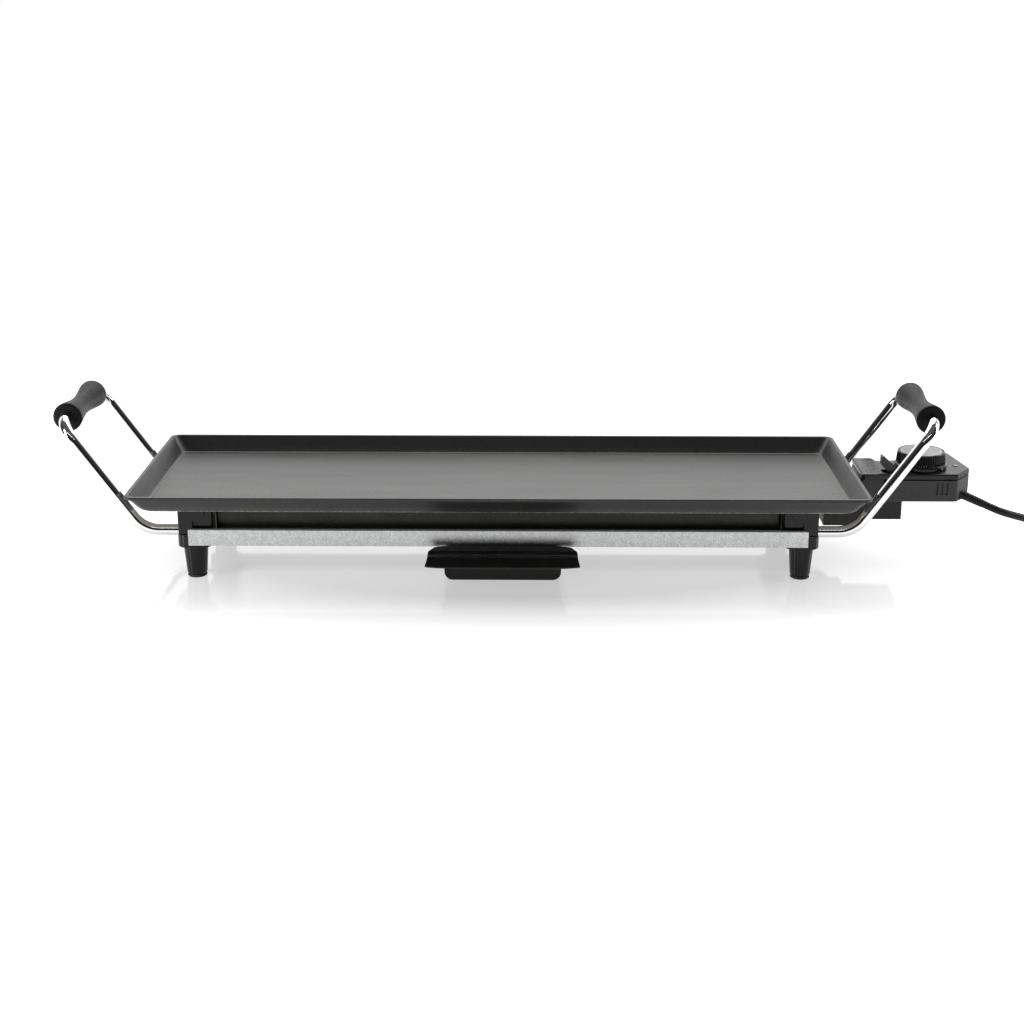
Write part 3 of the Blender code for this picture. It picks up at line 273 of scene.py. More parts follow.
def black_phenolic():
    """Pressed thermoset: nearly black, glossy, with a slight orange peel and a brownish flow."""
    look = Finish("black_phenolic", grey(0.008), 0.0, 0.13, Specular_IOR_Level=0.26)
    look.colours(look.noise(70.0, 5.0), (0.35, (0.006, 0.006, 0.006)), (0.7, (0.012, 0.011, 0.010)))
    look.roughen(look.noise(240.0, 4.0), 0.09, 0.17)
    look.bump(look.noise(420.0, 3.0), 0.00003, 0.35)
    return look


def grip_plastic():
    """Satin black moulding of the grips."""
    look = Finish("grip_plastic", grey(0.008), 0.0, 0.36, Specular_IOR_Level=0.3, IOR=1.25)
    look.colours(look.noise(60.0, 4.0), (0.3, (0.008, 0.008, 0.008)), (0.7, (0.015, 0.015, 0.014)))
    look.roughen(look.noise(300.0, 3.0), 0.40, 0.50)
    look.bump(look.noise(1500.0, 3.0), 0.00004, 0.5)
    return look


def control_plastic():
    """Moulded housing plastic with a fine spark-eroded texture."""
    look = Finish("control_plastic", grey(0.016), 0.0, 0.40, Specular_IOR_Level=0.45)
    look.colours(look.noise(45.0, 4.0), (0.3, (0.020, 0.020, 0.019)), (0.7, (0.030, 0.030, 0.029)))
    look.roughen(look.noise(220.0, 3.0), 0.38, 0.47)
    look.bump(look.noise(1900.0, 2.0), 0.00004, 0.5)
    return look


def control_top():
    """The thermostat's top moulding, smoother than the rest of its case."""
    look = Finish("control_top", grey(0.012), 0.0, 0.26, Specular_IOR_Level=0.32)
    look.colours(look.noise(50.0, 4.0), (0.3, (0.010, 0.010, 0.010)), (0.7, (0.016, 0.016, 0.015)))
    look.roughen(look.noise(260.0, 3.0), 0.25, 0.33)
    look.bump(look.noise(1900.0, 2.0), 0.00003, 0.4)
    return look


def dial_film():
    """Grey printed foil on the dial."""
    look = Finish("dial_film", grey(0.30), 0.35, 0.34)
    look.colours(look.noise(400.0, 3.0), (0.3, (0.26, 0.26, 0.26)), (0.7, (0.34, 0.34, 0.34)))
    look.roughen(look.noise(600.0, 2.0), 0.28, 0.40)
    look.bump(look.noise(1400.0, 2.0), 0.00002, 0.5)
    return look


def rubber():
    """Matt rubber of the foot pads."""
    look = Finish("rubber", grey(0.025), 0.0, 0.75)
    look.colours(look.noise(90.0, 4.0), (0.3, (0.020, 0.020, 0.020)), (0.7, (0.034, 0.034, 0.033)))
    look.roughen(look.noise(300.0, 3.0), 0.68, 0.84)
    look.bump(look.noise(1200.0, 3.0), 0.00006, 0.6)
    return look


def pilot_lens():
    """Frosted clear lens, with moulding ripples."""
    look = Finish("pilot_lens", (0.70, 0.68, 0.64), 0.0, 0.22, Transmission_Weight=0.35, IOR=1.49)
    look.colours(look.noise(300.0, 2.0), (0.3, (0.64, 0.62, 0.58)), (0.7, (0.76, 0.74, 0.70)))
    look.roughen(look.noise(700.0, 2.0), 0.18, 0.30)
    look.bump(look.noise(900.0, 2.0), 0.00003, 0.5)
    return look


def cord_sheath():
    """Soft black jacket of the lead, with a little dust."""
    look = Finish("cord_sheath", grey(0.009), 0.0, 0.42, Specular_IOR_Level=0.2)
    look.colours(look.noise(130.0, 4.0), (0.35, (0.007, 0.007, 0.007)), (0.75, (0.015, 0.015, 0.014)))
    look.roughen(look.noise(400.0, 3.0), 0.36, 0.50)
    look.bump(look.noise(1300.0, 3.0), 0.00004, 0.45)
    return look


def white_print():
    """Ink of the dial's scale, in the slot of the film under it."""
    look = Finish("dial_film", grey(0.7), 0.0, 0.5)
    look.material.name = "look_white_print"
    look.colours(look.noise(900.0, 2.0), (0.3, (0.62, 0.62, 0.62)), (0.7, (0.76, 0.76, 0.76)))
    look.bump(look.noise(2500.0, 2.0), 0.00001, 0.5)
    return look


LOOKS = {make.__name__: make() for make in (
    cast_coating, galvanised, dark_sheet, element_steel, zinc, chrome, black_phenolic, grip_plastic,
    control_plastic, control_top, dial_film, rubber, pilot_lens, cord_sheath, white_print,
)}


# ---------------------------------------------------------------- shapes

def piece(name, bm, look, body="base", replaces=(), bevel=0.0, segments=3, cutters=(), angle=35.0):
    """A finished mesh on a body of the frame, from plate coordinates."""
    bmesh.ops.recalc_face_normals(bm, faces=bm.faces)
    mesh = bpy.data.meshes.new(name)
    bm.to_mesh(mesh)
    bm.free()
    obj = bpy.data.objects.new(name, mesh)
    SCENE.collection.objects.link(obj)
    if bevel:
        add_bevel(obj, bevel, segments, angle)
    for cutter in cutters:
        boolean = obj.modifiers.new("cut", "BOOLEAN")
        boolean.object = cutter
        boolean.solver = "EXACT"
    if obj.modifiers:
        bpy.context.view_layer.update()
        baked = bpy.data.meshes.new_from_object(obj.evaluated_get(bpy.context.evaluated_depsgraph_get()))
        obj.modifiers.clear()
        obj.data = baked
        baked.name = name
        bpy.data.meshes.remove(mesh)
    for cutter in cutters:
        bpy.data.objects.remove(cutter, do_unlink=True)
    obj.data.transform(Matrix.Translation(MIDDLE))
    obj.data.materials.clear()
    obj.data.materials.append(LOOKS[look].material)
    obj.data.shade_smooth()
    obj.data.set_sharp_from_angle(angle=math.radians(angle))
    weighted = obj.modifiers.new("even shading", "WEIGHTED_NORMAL")
    weighted.keep_sharp = True
    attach(obj, body)
    if replaces:
        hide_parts(*replaces)
    return obj


def cutter(bm):
    """An object to cut a piece with, which piece() removes."""
    bmesh.ops.recalc_face_normals(bm, faces=bm.faces)
    mesh = bpy.data.meshes.new("cutter")
    bm.to_mesh(mesh)
    bm.free()
    obj = bpy.data.objects.new("cutter", mesh)
    SCENE.collection.objects.link(obj)
    return obj


def add_bevel(obj, width, segments=3, angle=35.0):
    bevel = obj.modifiers.new("rounding", "BEVEL")
    bevel.width = width
    bevel.segments = segments
    bevel.limit_method = "ANGLE"
    bevel.angle_limit = math.radians(angle)


def box(low, high):
    """A block between two corners, used to cut slots."""
    bm = bmesh.new()
    bmesh.ops.create_cube(bm, size=1.0)
    bmesh.ops.scale(bm, vec=Vector(high) - Vector(low), verts=bm.verts)
    bmesh.ops.translate(bm, vec=(Vector(high) + Vector(low)) / 2, verts=bm.verts)
    return bm


def rounded_corners(corners, steps=10):
    """(x, y, radius) corners of a closed outline to points, with an arc at each corner."""
    points = []
    count = len(corners)
    for index, (x, y, radius) in enumerate(corners):
        here = Vector((x, y))
        back = (Vector(corners[index - 1][:2]) - here).normalized()
        ahead = (Vector(corners[(index + 1) % count][:2]) - here).normalized()
        half = back.angle(ahead) / 2
        reach = radius / math.tan(half)
        centre = here + (back + ahead).normalized() * (radius / math.sin(half))
        start = here + back * reach - centre
        end = here + ahead * reach - centre
        sweep = start.angle_signed(end)
        for step in range(steps + 1):
            points.append(centre + Matrix.Rotation(-sweep * step / steps, 2) @ start)
    return points


def rounded_path(corners, steps=12):
    """(x, y, z, radius) corners of an open path to points, with an arc at each inner corner."""
    points = [Vector(corners[0][:3])]
    for before, corner, after in zip(corners, corners[1:], corners[2:]):
        here = Vector(corner[:3])
        if corner[3] <= 0.0:
            points.append(here)
            continue
        back = (Vector(before[:3]) - here).normalized()
        ahead = (Vector(after[:3]) - here).normalized()
        half = back.angle(ahead) / 2
        reach = corner[3] / math.tan(half)
        centre = here + (back + ahead).normalized() * (corner[3] / math.sin(half))
        start = here + back * reach - centre
        end = here + ahead * reach - centre
        axis = start.cross(end)
        sweep = start.angle(end)
        for step in range(steps + 1):
            points.append(centre + Matrix.Rotation(sweep * step / steps, 3, axis) @ start)
    points.append(Vector(corners[-1][:3]))
    return points


def filleted(profile, steps=6):
    """(radius, height, fillet) points of an open profile to (radius, height) points."""
    path = rounded_path([(across, 0.0, height, fillet) for across, height, fillet in profile], steps)
    return [(point.x, point.z) for point in path]


def rectangle_ring(half_x, half_y, radius, z, middle=(0.0, 0.0), steps=12):
    """A rounded rectangle at one height."""
    corners = [
        (half_x, -half_y, radius), (half_x, half_y, radius),
        (-half_x, half_y, radius), (-half_x, -half_y, radius),
    ]
    return [(middle[0] + point.x, middle[1] + point.y, z) for point in rounded_corners(corners, steps)]


def loft(rings, bm=None):
    """Rings with equal numbers of points, joined in order and capped at both ends."""
    bm = bm or bmesh.new()
    rows = [[bm.verts.new(point) for point in ring] for ring in rings]
    for lower, upper in zip(rows, rows[1:]):
        for index in range(len(lower)):
            after = (index + 1) % len(lower)
            bm.faces.new((lower[index], lower[after], upper[after], upper[index]))
    bm.faces.new(list(reversed(rows[0])))
    bm.faces.new(rows[-1])
    return bm


def prism(points, low, high, axis="Z", bm=None):
    """An outline of (a, b) points, extruded along an axis."""
    place = {
        "Z": lambda a, b, c: (a, b, c),
        "Y": lambda a, b, c: (a, c, b),
        "X": lambda a, b, c: (c, a, b),
    }[axis]
    return loft([[place(point[0], point[1], level) for point in points] for level in (low, high)], bm)


def turned(profile, steps=48, turn=None, bm=None):
    """A profile of (radius, height) points turned about Z, then placed by a matrix."""
    turn = turn or Matrix.Identity(4)
    rings = []
    for radius, height in profile:
        rings.append([
            turn @ Vector((
                max(radius, 0.00002) * math.cos(2 * math.pi * step / steps),
                max(radius, 0.00002) * math.sin(2 * math.pi * step / steps), height,
            )) for step in range(steps)
        ])
    return loft(rings, bm)


def aimed(place, direction):
    """Matrix that puts a turned shape's Z along a direction, from a place."""
    turn = Vector(direction).to_track_quat("Z", "Y").to_matrix().to_4x4()
    return Matrix.Translation(Vector(place)) @ turn


def swept(path, radius, sides=32):
    """A round bar along points, its section carried on without twisting."""
    rings = []
    across = None
    for index, point in enumerate(path):
        before = path[max(index - 1, 0)]
        after = path[min(index + 1, len(path) - 1)]
        along = (after - before).normalized()
        if across is None:
            across = along.orthogonal().normalized()
        across = (across - along * across.dot(along)).normalized()
        up = along.cross(across)
        angles = [2 * math.pi * side / sides for side in range(sides)]
        rings.append([point + radius * (across * math.cos(angle) + up * math.sin(angle)) for angle in angles])
    return loft(rings)


def smooth(points, spacing):
    """Points along a Catmull-Rom curve through the given ones."""
    ends = [points[0] * 2 - points[1]] + list(points) + [points[-1] * 2 - points[-2]]
    line = []
    for before, start, end, after in zip(ends, ends[1:], ends[2:], ends[3:]):
        pieces = max(1, round((end - start).length / spacing))
        for step in range(pieces):
            t = step / pieces
            line.append(0.5 * (
                2 * start + (end - before) * t
                + (2 * before - 5 * start + 4 * end - after) * t ** 2
                + (3 * start - before - 3 * end + after) * t ** 3
            ))
    line.append(Vector(points[-1]))
    return line


def keep(node, look, bevel=0.0, segments=2):
    """A frame node that shows, with its finish and, where it helps, rounded edges."""
    obj = frame["nodes"][node]
    for index in range(len(obj.material_slots)):
        obj.material_slots[index].link = "OBJECT"
        obj.material_slots[index].material = LOOKS[look].material
    if bevel:
        weld = obj.modifiers.new("weld", "WELD")
        weld.merge_threshold = 0.00001
        add_bevel(obj, bevel, segments)
        obj.modifiers.new("even shading", "WEIGHTED_NORMAL")


# ---------------------------------------------------------------- lead

CORD_RADIUS = 0.00375
CORD_REST_Z = 0.0040
CORD_SPACING = 0.0035
RELIEF_START = Vector((0.4558, -0.0200, 0.0672))
RELIEF_TILT = math.radians(-24.0)
RELIEF_ALONG = Vector((math.cos(RELIEF_TILT), 0.0, math.sin(RELIEF_TILT)))
RELIEF_LENGTH = 0.024
RELIEF_RIBS = 7
RELIEF_RIB_PITCH = 0.0027
COIL_ENTRY = Vector((0.6600, 0.0600, 0.0))
COIL_HEADING = math.radians(25.0)
COIL_PITCH = 0.0077
COIL_TURNS = 2.35
COIL_RISE = 0.50
COIL_INNER = 0.0302
COIL_OUTER = COIL_INNER + COIL_TURNS * COIL_PITCH
COIL_TOTAL = 2 * COIL_TURNS + COIL_RISE
COIL_MIDDLE = COIL_ENTRY + COIL_OUTER * Vector((-math.sin(COIL_HEADING), math.cos(COIL_HEADING), 0.0))
PLUG_RADIUS = 0.0185
PLUG_LENGTH = 0.046


def coil_point(turns):
    """Where the lead is after that many turns: inwards on the table, up, then outwards on top."""
    inwards = min(turns, COIL_TURNS)
    outwards = max(turns - COIL_TURNS - COIL_RISE, 0.0)
    rise = min(max((turns - COIL_TURNS) / COIL_RISE, 0.0), 1.0)
    radius = COIL_OUTER - inwards * COIL_PITCH + outwards * COIL_PITCH
    angle = COIL_HEADING - math.pi / 2 + 2 * math.pi * turns
    height = CORD_REST_Z + COIL_PITCH * rise * rise * (3 - 2 * rise)
    return COIL_MIDDLE + Vector((radius * math.cos(angle), radius * math.sin(angle), height))


def lead_route():
    """The lead's centreline: down to the table, round the coil and up into the plug."""
    start = RELIEF_START + RELIEF_ALONG * (RELIEF_LENGTH + 0.0003)
    first = [
        start, start + RELIEF_ALONG * 0.016,
        Vector((0.5050, -0.0172, 0.0460)), Vector((0.5230, -0.0105, 0.0395)),
        Vector((0.5460, 0.0010, 0.0300)), Vector((0.5720, 0.0150, 0.0192)),
        Vector((0.5980, 0.0290, 0.0105)), Vector((0.6240, 0.0425, CORD_REST_Z + 0.0010)),
        Vector((0.6420, 0.0513, CORD_REST_Z)),
    ]
    steps = round(COIL_TOTAL * 40)
    coil = [coil_point(COIL_TOTAL * step / steps) for step in range(steps + 1)]
    place = coil[-1]
    along = lead_end()
    entry = place + along * 0.078
    entry.z = PLUG_RADIUS
    tail = []
    for reach, rise in ((0.012, 0.0), (0.023, 0.0002), (0.0335, 0.0008), (0.045, 0.0030), (0.060, 0.0062)):
        tail.append(place + along * reach + Vector((0.0, 0.0, rise)))
    return smooth(first + coil + tail + [entry], CORD_SPACING)


def lead_end():
    """The way the tail and the plug point."""
    angle = COIL_HEADING - math.pi / 2 + 2 * math.pi * COIL_TOTAL
    return Vector((-math.sin(angle), math.cos(angle), 0.0))


def make_strain_relief():
    """Tapered sleeve with bending ribs, in its gland."""
    profile = [(0.0, -0.006), (0.0039, -0.006), (0.0039, 0.0010), (0.0043, 0.0012), (0.0043, 0.0040)]
    rib_shape = ((0.0, 0.00030), (0.12, 0.00008), (0.3, 0.0), (0.62, 0.0), (0.8, 0.00008), (0.95, 0.00030))
    for rib in range(RELIEF_RIBS):
        low = 0.0044 + rib * RELIEF_RIB_PITCH
        taper = 0.00430 - 0.00030 * rib / RELIEF_RIBS
        for share, inwards in rib_shape:
            profile.append((taper - inwards, low + RELIEF_RIB_PITCH * share))
    profile += [(0.0040, 0.0235), (0.0039, RELIEF_LENGTH), (0.0, RELIEF_LENGTH)]
    sleeve = turned(profile, 40, aimed(RELIEF_START, RELIEF_ALONG))
    return piece("strain_relief_sleeve", sleeve, "cord_sheath", "controller", ["strain_relief"])


def make_plug(route):
    """Round moulding that swells from the lead to the plug's face."""
    along = lead_end()
    profile = filleted([
        (0.0, 0.0, 0.0), (0.0050, 0.0, 0.0006), (0.0056, 0.0040, 0.004), (0.0080, 0.0120, 0.012),
        (0.0115, 0.0180, 0.010), (0.0152, 0.0260, 0.006), (0.0183, 0.0300, 0.0020), (0.0183, 0.0400, 0.0030),
        (0.0178, 0.0440, 0.0010), (0.0150, PLUG_LENGTH, 0.0008), (0.0, PLUG_LENGTH, 0.0),
    ], 5)
    return piece("plug_moulding", turned(profile, 64, aimed(route[-1], along)), "black_phenolic",
                 "controller", ["plug_body"])


def make_lead():
    """The cord with its sleeve, its plug and the plug's pins."""
    route = lead_route()
    curve = bpy.data.curves.new("lead", "CURVE")
    curve.dimensions = "3D"
    curve.bevel_depth = CORD_RADIUS
    curve.bevel_resolution = 6
    curve.use_fill_caps = True
    spline = curve.splines.new("POLY")
    spline.points.add(len(route) - 1)
    for target, point in zip(spline.points, route):
        target.co = (*(point + MIDDLE), 1.0)
    spline.use_smooth = True
    lead = bpy.data.objects.new("lead", curve)
    SCENE.collection.objects.link(lead)
    curve.materials.append(LOOKS["cord_sheath"].material)
    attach(lead, "controller")
    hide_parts("cord", "cord_coil", "cord_tail")
    relief = make_strain_relief()
    plug = make_plug(route)
    for name in ("plug_pin_left", "plug_pin_right"):
        keep(name, "zinc", 0.0006, 3)


make_lead()


# ---------------------------------------------------------------- cooking plate

RIM_Z = 0.0900
PLATE_BOTTOM_Z = 0.0715
PLATE_FLOOR_Z = 0.0745
PLATE_HALF_X = 0.350
PLATE_HALF_Y = 0.115
FLARE_X = 0.0120
FLARE_Y = 0.0130
DRAIN_Y = -0.0662
DRAIN_RADIUS = 0.0050
DRAIN_EDGE = 0.0011
BOSS_RADIUS = 0.0060
BOSS_LENGTH = 0.0060
LEG_X = 0.2915
LEG_Y = 0.075


def make_plate():
    """Die-cast pan: flared walls that curl under, a rim with a step below it, and bosses for the legs."""
    outside = [
        (0.0240, PLATE_BOTTOM_Z, 0.0), (0.0128, PLATE_BOTTOM_Z, 0.0085), (0.0028, RIM_Z - 0.0034, 0.0003),
        (0.0000, RIM_Z - 0.0029, 0.0004), (0.0000, RIM_Z, 0.0008), (0.0020, RIM_Z, 0.0),
    ]
    inside = [
        (0.0022, RIM_Z, 0.0), (0.0036, RIM_Z, 0.0007), (0.0138, PLATE_FLOOR_Z, 0.0022),
        (0.0320, PLATE_FLOOR_Z, 0.0),
    ]
    flare = (FLARE_X + FLARE_Y) / 2
    rings = []
    for profile, top_radius, foot_radius in ((outside, 0.008, 0.012), (inside, 0.0066, 0.0088)):
        for inwards, z in filleted(profile, 6):
            low = (RIM_Z - z) / (RIM_Z - PLATE_BOTTOM_Z)
            radius = top_radius + (foot_radius - top_radius) * low
            rings.append(rectangle_ring(
                PLATE_HALF_X - inwards * FLARE_X / flare, PLATE_HALF_Y - inwards * FLARE_Y / flare, radius, z,
            ))
    bm = loft(rings)
    drain_top = DRAIN_RADIUS + DRAIN_EDGE
    drain = cutter(turned([
        (DRAIN_RADIUS, PLATE_BOTTOM_Z - 0.01), (DRAIN_RADIUS, PLATE_FLOOR_Z - 0.0007),
        (drain_top, PLATE_FLOOR_Z + 0.0004), (drain_top, PLATE_FLOOR_Z + 0.003),
    ], 48, Matrix.Translation((0.0, DRAIN_Y, 0.0))))
    boss = filleted([
        (0.0, PLATE_BOTTOM_Z - BOSS_LENGTH, 0.0), (BOSS_RADIUS, PLATE_BOTTOM_Z - BOSS_LENGTH, 0.0006),
        (BOSS_RADIUS, PLATE_BOTTOM_Z + 0.001, 0.0),
    ], 3)
    for side in (-1, 1):
        for end in (-1, 1):
            turned(boss, 32, Matrix.Translation((side * LEG_X, end * LEG_Y, 0.0)), bm)
    piece("cooking_plate", bm, "cast_coating", "base", ["griddle_plate"], cutters=[drain])


# ---------------------------------------------------------------- legs

BRACKET_TOP_Z = 0.0712
BRACKET_BOTTOM_Z = 0.0448
COLLAR_BOTTOM_Z = 0.0305
COLLAR_TOP_Z = 0.0430
BRACKET_OUTER = 0.0140
BRACKET_INNER = 0.0183
BRACKET_FACE = 0.0072
BRACKET_BACK = 0.0110
BRACKET_CORNER = 0.002
GUSSET_REACH = 0.0120
GUSSET_WIDTH = 0.0122
GUSSET_HEIGHT = 0.0095
GUSSET_EDGE = 0.0045
GUSSET_FACE = 0.0060
COLLAR_HALF_X = 0.0165
COLLAR_HALF_Y = 0.0110
COLLAR_RADIUS = 0.0105
COLLAR_EDGE = 0.0011
FOOT_TOP_RADIUS = 0.0117
FOOT_BOTTOM_RADIUS = 0.0097
PAD_TOP_Z = 0.0030


def make_bracket(name, side, end):
    """Moulded post with a web whose inner edge sweeps up into a gusset under the plate."""
    x = side * LEG_X
    y = end * LEG_Y
    outer_x = x + side * BRACKET_OUTER
    low_x, high_x = sorted((outer_x, x - side * BRACKET_INNER))
    low_y, high_y = sorted((y + end * BRACKET_FACE, y - end * BRACKET_BACK))
    outline = rounded_corners([
        (low_x, low_y, BRACKET_CORNER), (high_x, low_y, BRACKET_CORNER),
        (high_x, high_y, BRACKET_CORNER), (low_x, high_y, BRACKET_CORNER),
    ], 6)
    bm = prism(outline, BRACKET_BOTTOM_Z, BRACKET_TOP_Z)
    gusset_x = x - side * GUSSET_REACH
    gusset_z = BRACKET_TOP_Z - GUSSET_EDGE
    rib = [
        (outer_x, BRACKET_BOTTOM_Z), (outer_x, BRACKET_TOP_Z),
        (gusset_x, BRACKET_TOP_Z), (gusset_x, gusset_z),
    ]
    steps = 14
    for step in range(1, steps + 1):
        angle = math.pi / 2 * step / steps
        across = GUSSET_WIDTH * (1 - math.cos(angle))
        rib.append((gusset_x + side * across, gusset_z - GUSSET_HEIGHT * math.sin(angle)))
    rib.append((gusset_x + side * GUSSET_WIDTH, BRACKET_BOTTOM_Z))
    rib_y = sorted((y + end * GUSSET_FACE, y + end * BRACKET_BACK))
    prism(rib, rib_y[0], rib_y[1], "Y", bm)
    piece("leg_post_" + name, bm, "black_phenolic", "base", ["leg_bracket_" + name], bevel=0.0007, segments=3)


def make_foot(name, side, end):
    """Oval collar clamped up against the post, over a round tapered foot."""
    x = side * LEG_X
    y = end * LEG_Y
    middle = Matrix.Translation((x, y, 0.0))
    profile = filleted([
        (0.0, COLLAR_BOTTOM_Z + 0.002, 0.0), (FOOT_TOP_RADIUS, COLLAR_BOTTOM_Z + 0.002, 0.0002),
        (FOOT_TOP_RADIUS, COLLAR_BOTTOM_Z - 0.001, 0.001), (FOOT_BOTTOM_RADIUS, PAD_TOP_Z + 0.0012, 0.0016),
        (FOOT_BOTTOM_RADIUS - 0.0009, PAD_TOP_Z, 0.0003), (0.0, PAD_TOP_Z, 0.0),
    ], 5)
    bm = turned(profile, 56, middle)
    edge_steps = 5
    levels = []
    for step in range(edge_steps + 1):
        angle = math.pi / 2 * step / edge_steps
        levels.append((COLLAR_EDGE * (1 - math.sin(angle)), COLLAR_EDGE * (1 - math.cos(angle))))
    top_share = 0.6
    sections = [(inwards, COLLAR_BOTTOM_Z + up) for inwards, up in levels]
    sections += [(inwards * top_share, COLLAR_TOP_Z - down * top_share) for inwards, down in reversed(levels)]
    loft([
        rectangle_ring(COLLAR_HALF_X - inwards, COLLAR_HALF_Y - inwards, COLLAR_RADIUS - inwards, z, (x, y))
        for inwards, z in sections
    ], bm)
    piece("leg_foot_" + name, bm, "black_phenolic", "base", ["foot_" + name])


def make_legs():
    for side_name, side in (("left", -1), ("right", 1)):
        for end_name, end in (("front", -1), ("rear", 1)):
            name = f"{end_name}_{side_name}"
            make_bracket(name, side, end)
            make_foot(name, side, end)
            keep("foot_pad_" + name, "rubber")
            keep("leg_screw_" + name, "zinc")


# ---------------------------------------------------------------- handles

ROD_RADIUS = 0.0055
ROD_Z = 0.0460
ROD_INNER_X = 0.2795
ROD_KNEE_X = 0.341
KNEE_RADIUS = 0.030
CORNER_RADIUS = 0.021
GRIP_X = 0.4135
GRIP_Z = 0.1500
GRIP_HALF = 0.050
GRIP_RADIUS = 0.0140
GRIP_WAIST = 0.0098
GRIP_FLAT = 0.0030


def make_handle(name, side):
    """One bent rod from leg to leg, with a waisted grip along its top."""
    corners = [
        (side * ROD_INNER_X, -LEG_Y, ROD_Z, 0.0), (side * ROD_KNEE_X, -LEG_Y, ROD_Z, KNEE_RADIUS),
        (side * GRIP_X, -LEG_Y, GRIP_Z, CORNER_RADIUS), (side * GRIP_X, LEG_Y, GRIP_Z, CORNER_RADIUS),
        (side * ROD_KNEE_X, LEG_Y, ROD_Z, KNEE_RADIUS), (side * ROD_INNER_X, LEG_Y, ROD_Z, 0.0),
    ]
    piece("carry_rod_" + name, swept(rounded_path(corners, 20), ROD_RADIUS), "chrome", "base",
          ["handle_rod_" + name])
    flat = GRIP_HALF - GRIP_FLAT
    outer = []
    waist_steps = 36
    for step in range(waist_steps + 1):
        along = flat - 2 * flat * step / waist_steps
        share = math.cos(math.pi / 2 * along / flat) ** 1.3 if abs(along) < flat else 0.0
        outer.append((GRIP_RADIUS - (GRIP_RADIUS - GRIP_WAIST) * share, along))
    end = filleted([
        (ROD_RADIUS, GRIP_HALF, 0.0), (GRIP_RADIUS, GRIP_HALF, 0.0026), (GRIP_RADIUS, flat, 0.0),
    ], 7)
    profile = end[:-1] + outer + [(radius, -along) for radius, along in reversed(end[:-1])]
    piece("carry_grip_" + name, turned(profile, 64, aimed((side * GRIP_X, 0.0, GRIP_Z), (0.0, 1.0, 0.0))),
          "grip_plastic", "base", ["handle_grip_" + name])


# ---------------------------------------------------------------- grease drawer

DRAWER_X = 0.005
DRAWER_HALF_X = 0.0555
DRAWER_FRONT_Y = -0.100
DRAWER_BACK_Y = 0.030
DRAWER_BOTTOM_Z = 0.0045
DRAWER_TOP_Z = 0.0300
DRAWER_WALL = 0.0015
DRAWER_FLANGE = 0.0035
DRAWER_CORNER = 0.009
FRONT_BOTTOM_Z = 0.0055
FRONT_TOP_Z = 0.0335
HOOD_BACK_Y = -0.0925
HOOD_STEP_Y = -0.1085
HOOD_LIP_Y = -0.1246
HOOD_TOP_Z = 0.0368
HOOD_LIP_Z = 0.0250
HOOD_SHEET = 0.0026
HOOD_HALF_BACK = 0.0655
HOOD_HALF_LIP = 0.0730
HOOD_DIP = 0.0016


def make_drawer():
    """Shallow tray with rounded corners and a flange at each side that runs on the rails."""
    half_y = (DRAWER_BACK_Y - DRAWER_FRONT_Y) / 2
    middle = (DRAWER_X, (DRAWER_FRONT_Y + DRAWER_BACK_Y) / 2)
    outside = filleted([
        (0.020, DRAWER_BOTTOM_Z, 0.0), (0.0, DRAWER_BOTTOM_Z, 0.0045), (0.0, DRAWER_TOP_Z, 0.0),
    ], 8)
    inside = filleted([
        (DRAWER_WALL, DRAWER_TOP_Z, 0.0), (DRAWER_WALL + 0.0002, DRAWER_TOP_Z - 0.0004, 0.0),
        (DRAWER_WALL, DRAWER_BOTTOM_Z + DRAWER_WALL, 0.0032), (0.022, DRAWER_BOTTOM_Z + DRAWER_WALL, 0.0),
    ], 8)
    rings = []
    for inwards, z in outside[:-1]:
        rings.append((DRAWER_HALF_X - inwards, half_y - inwards, max(DRAWER_CORNER - inwards, 0.004), z))
    under = DRAWER_TOP_Z - DRAWER_WALL
    flange = DRAWER_HALF_X + DRAWER_FLANGE
    edge = 0.0003
    rings += [
        (DRAWER_HALF_X, half_y, DRAWER_CORNER, under), (flange - edge, half_y, DRAWER_CORNER, under),
        (flange, half_y, DRAWER_CORNER, under + edge), (flange, half_y, DRAWER_CORNER, DRAWER_TOP_Z - edge),
        (flange - edge, half_y - edge, DRAWER_CORNER - edge, DRAWER_TOP_Z),
    ]
    for inwards, z in inside:
        rings.append((DRAWER_HALF_X - inwards, half_y - inwards, max(DRAWER_CORNER - inwards, 0.003), z))
    bm = loft([rectangle_ring(*ring, middle) for ring in rings])
    piece("grease_tray_drawer", bm, "control_plastic", "drawer", ["grease_drawer"])


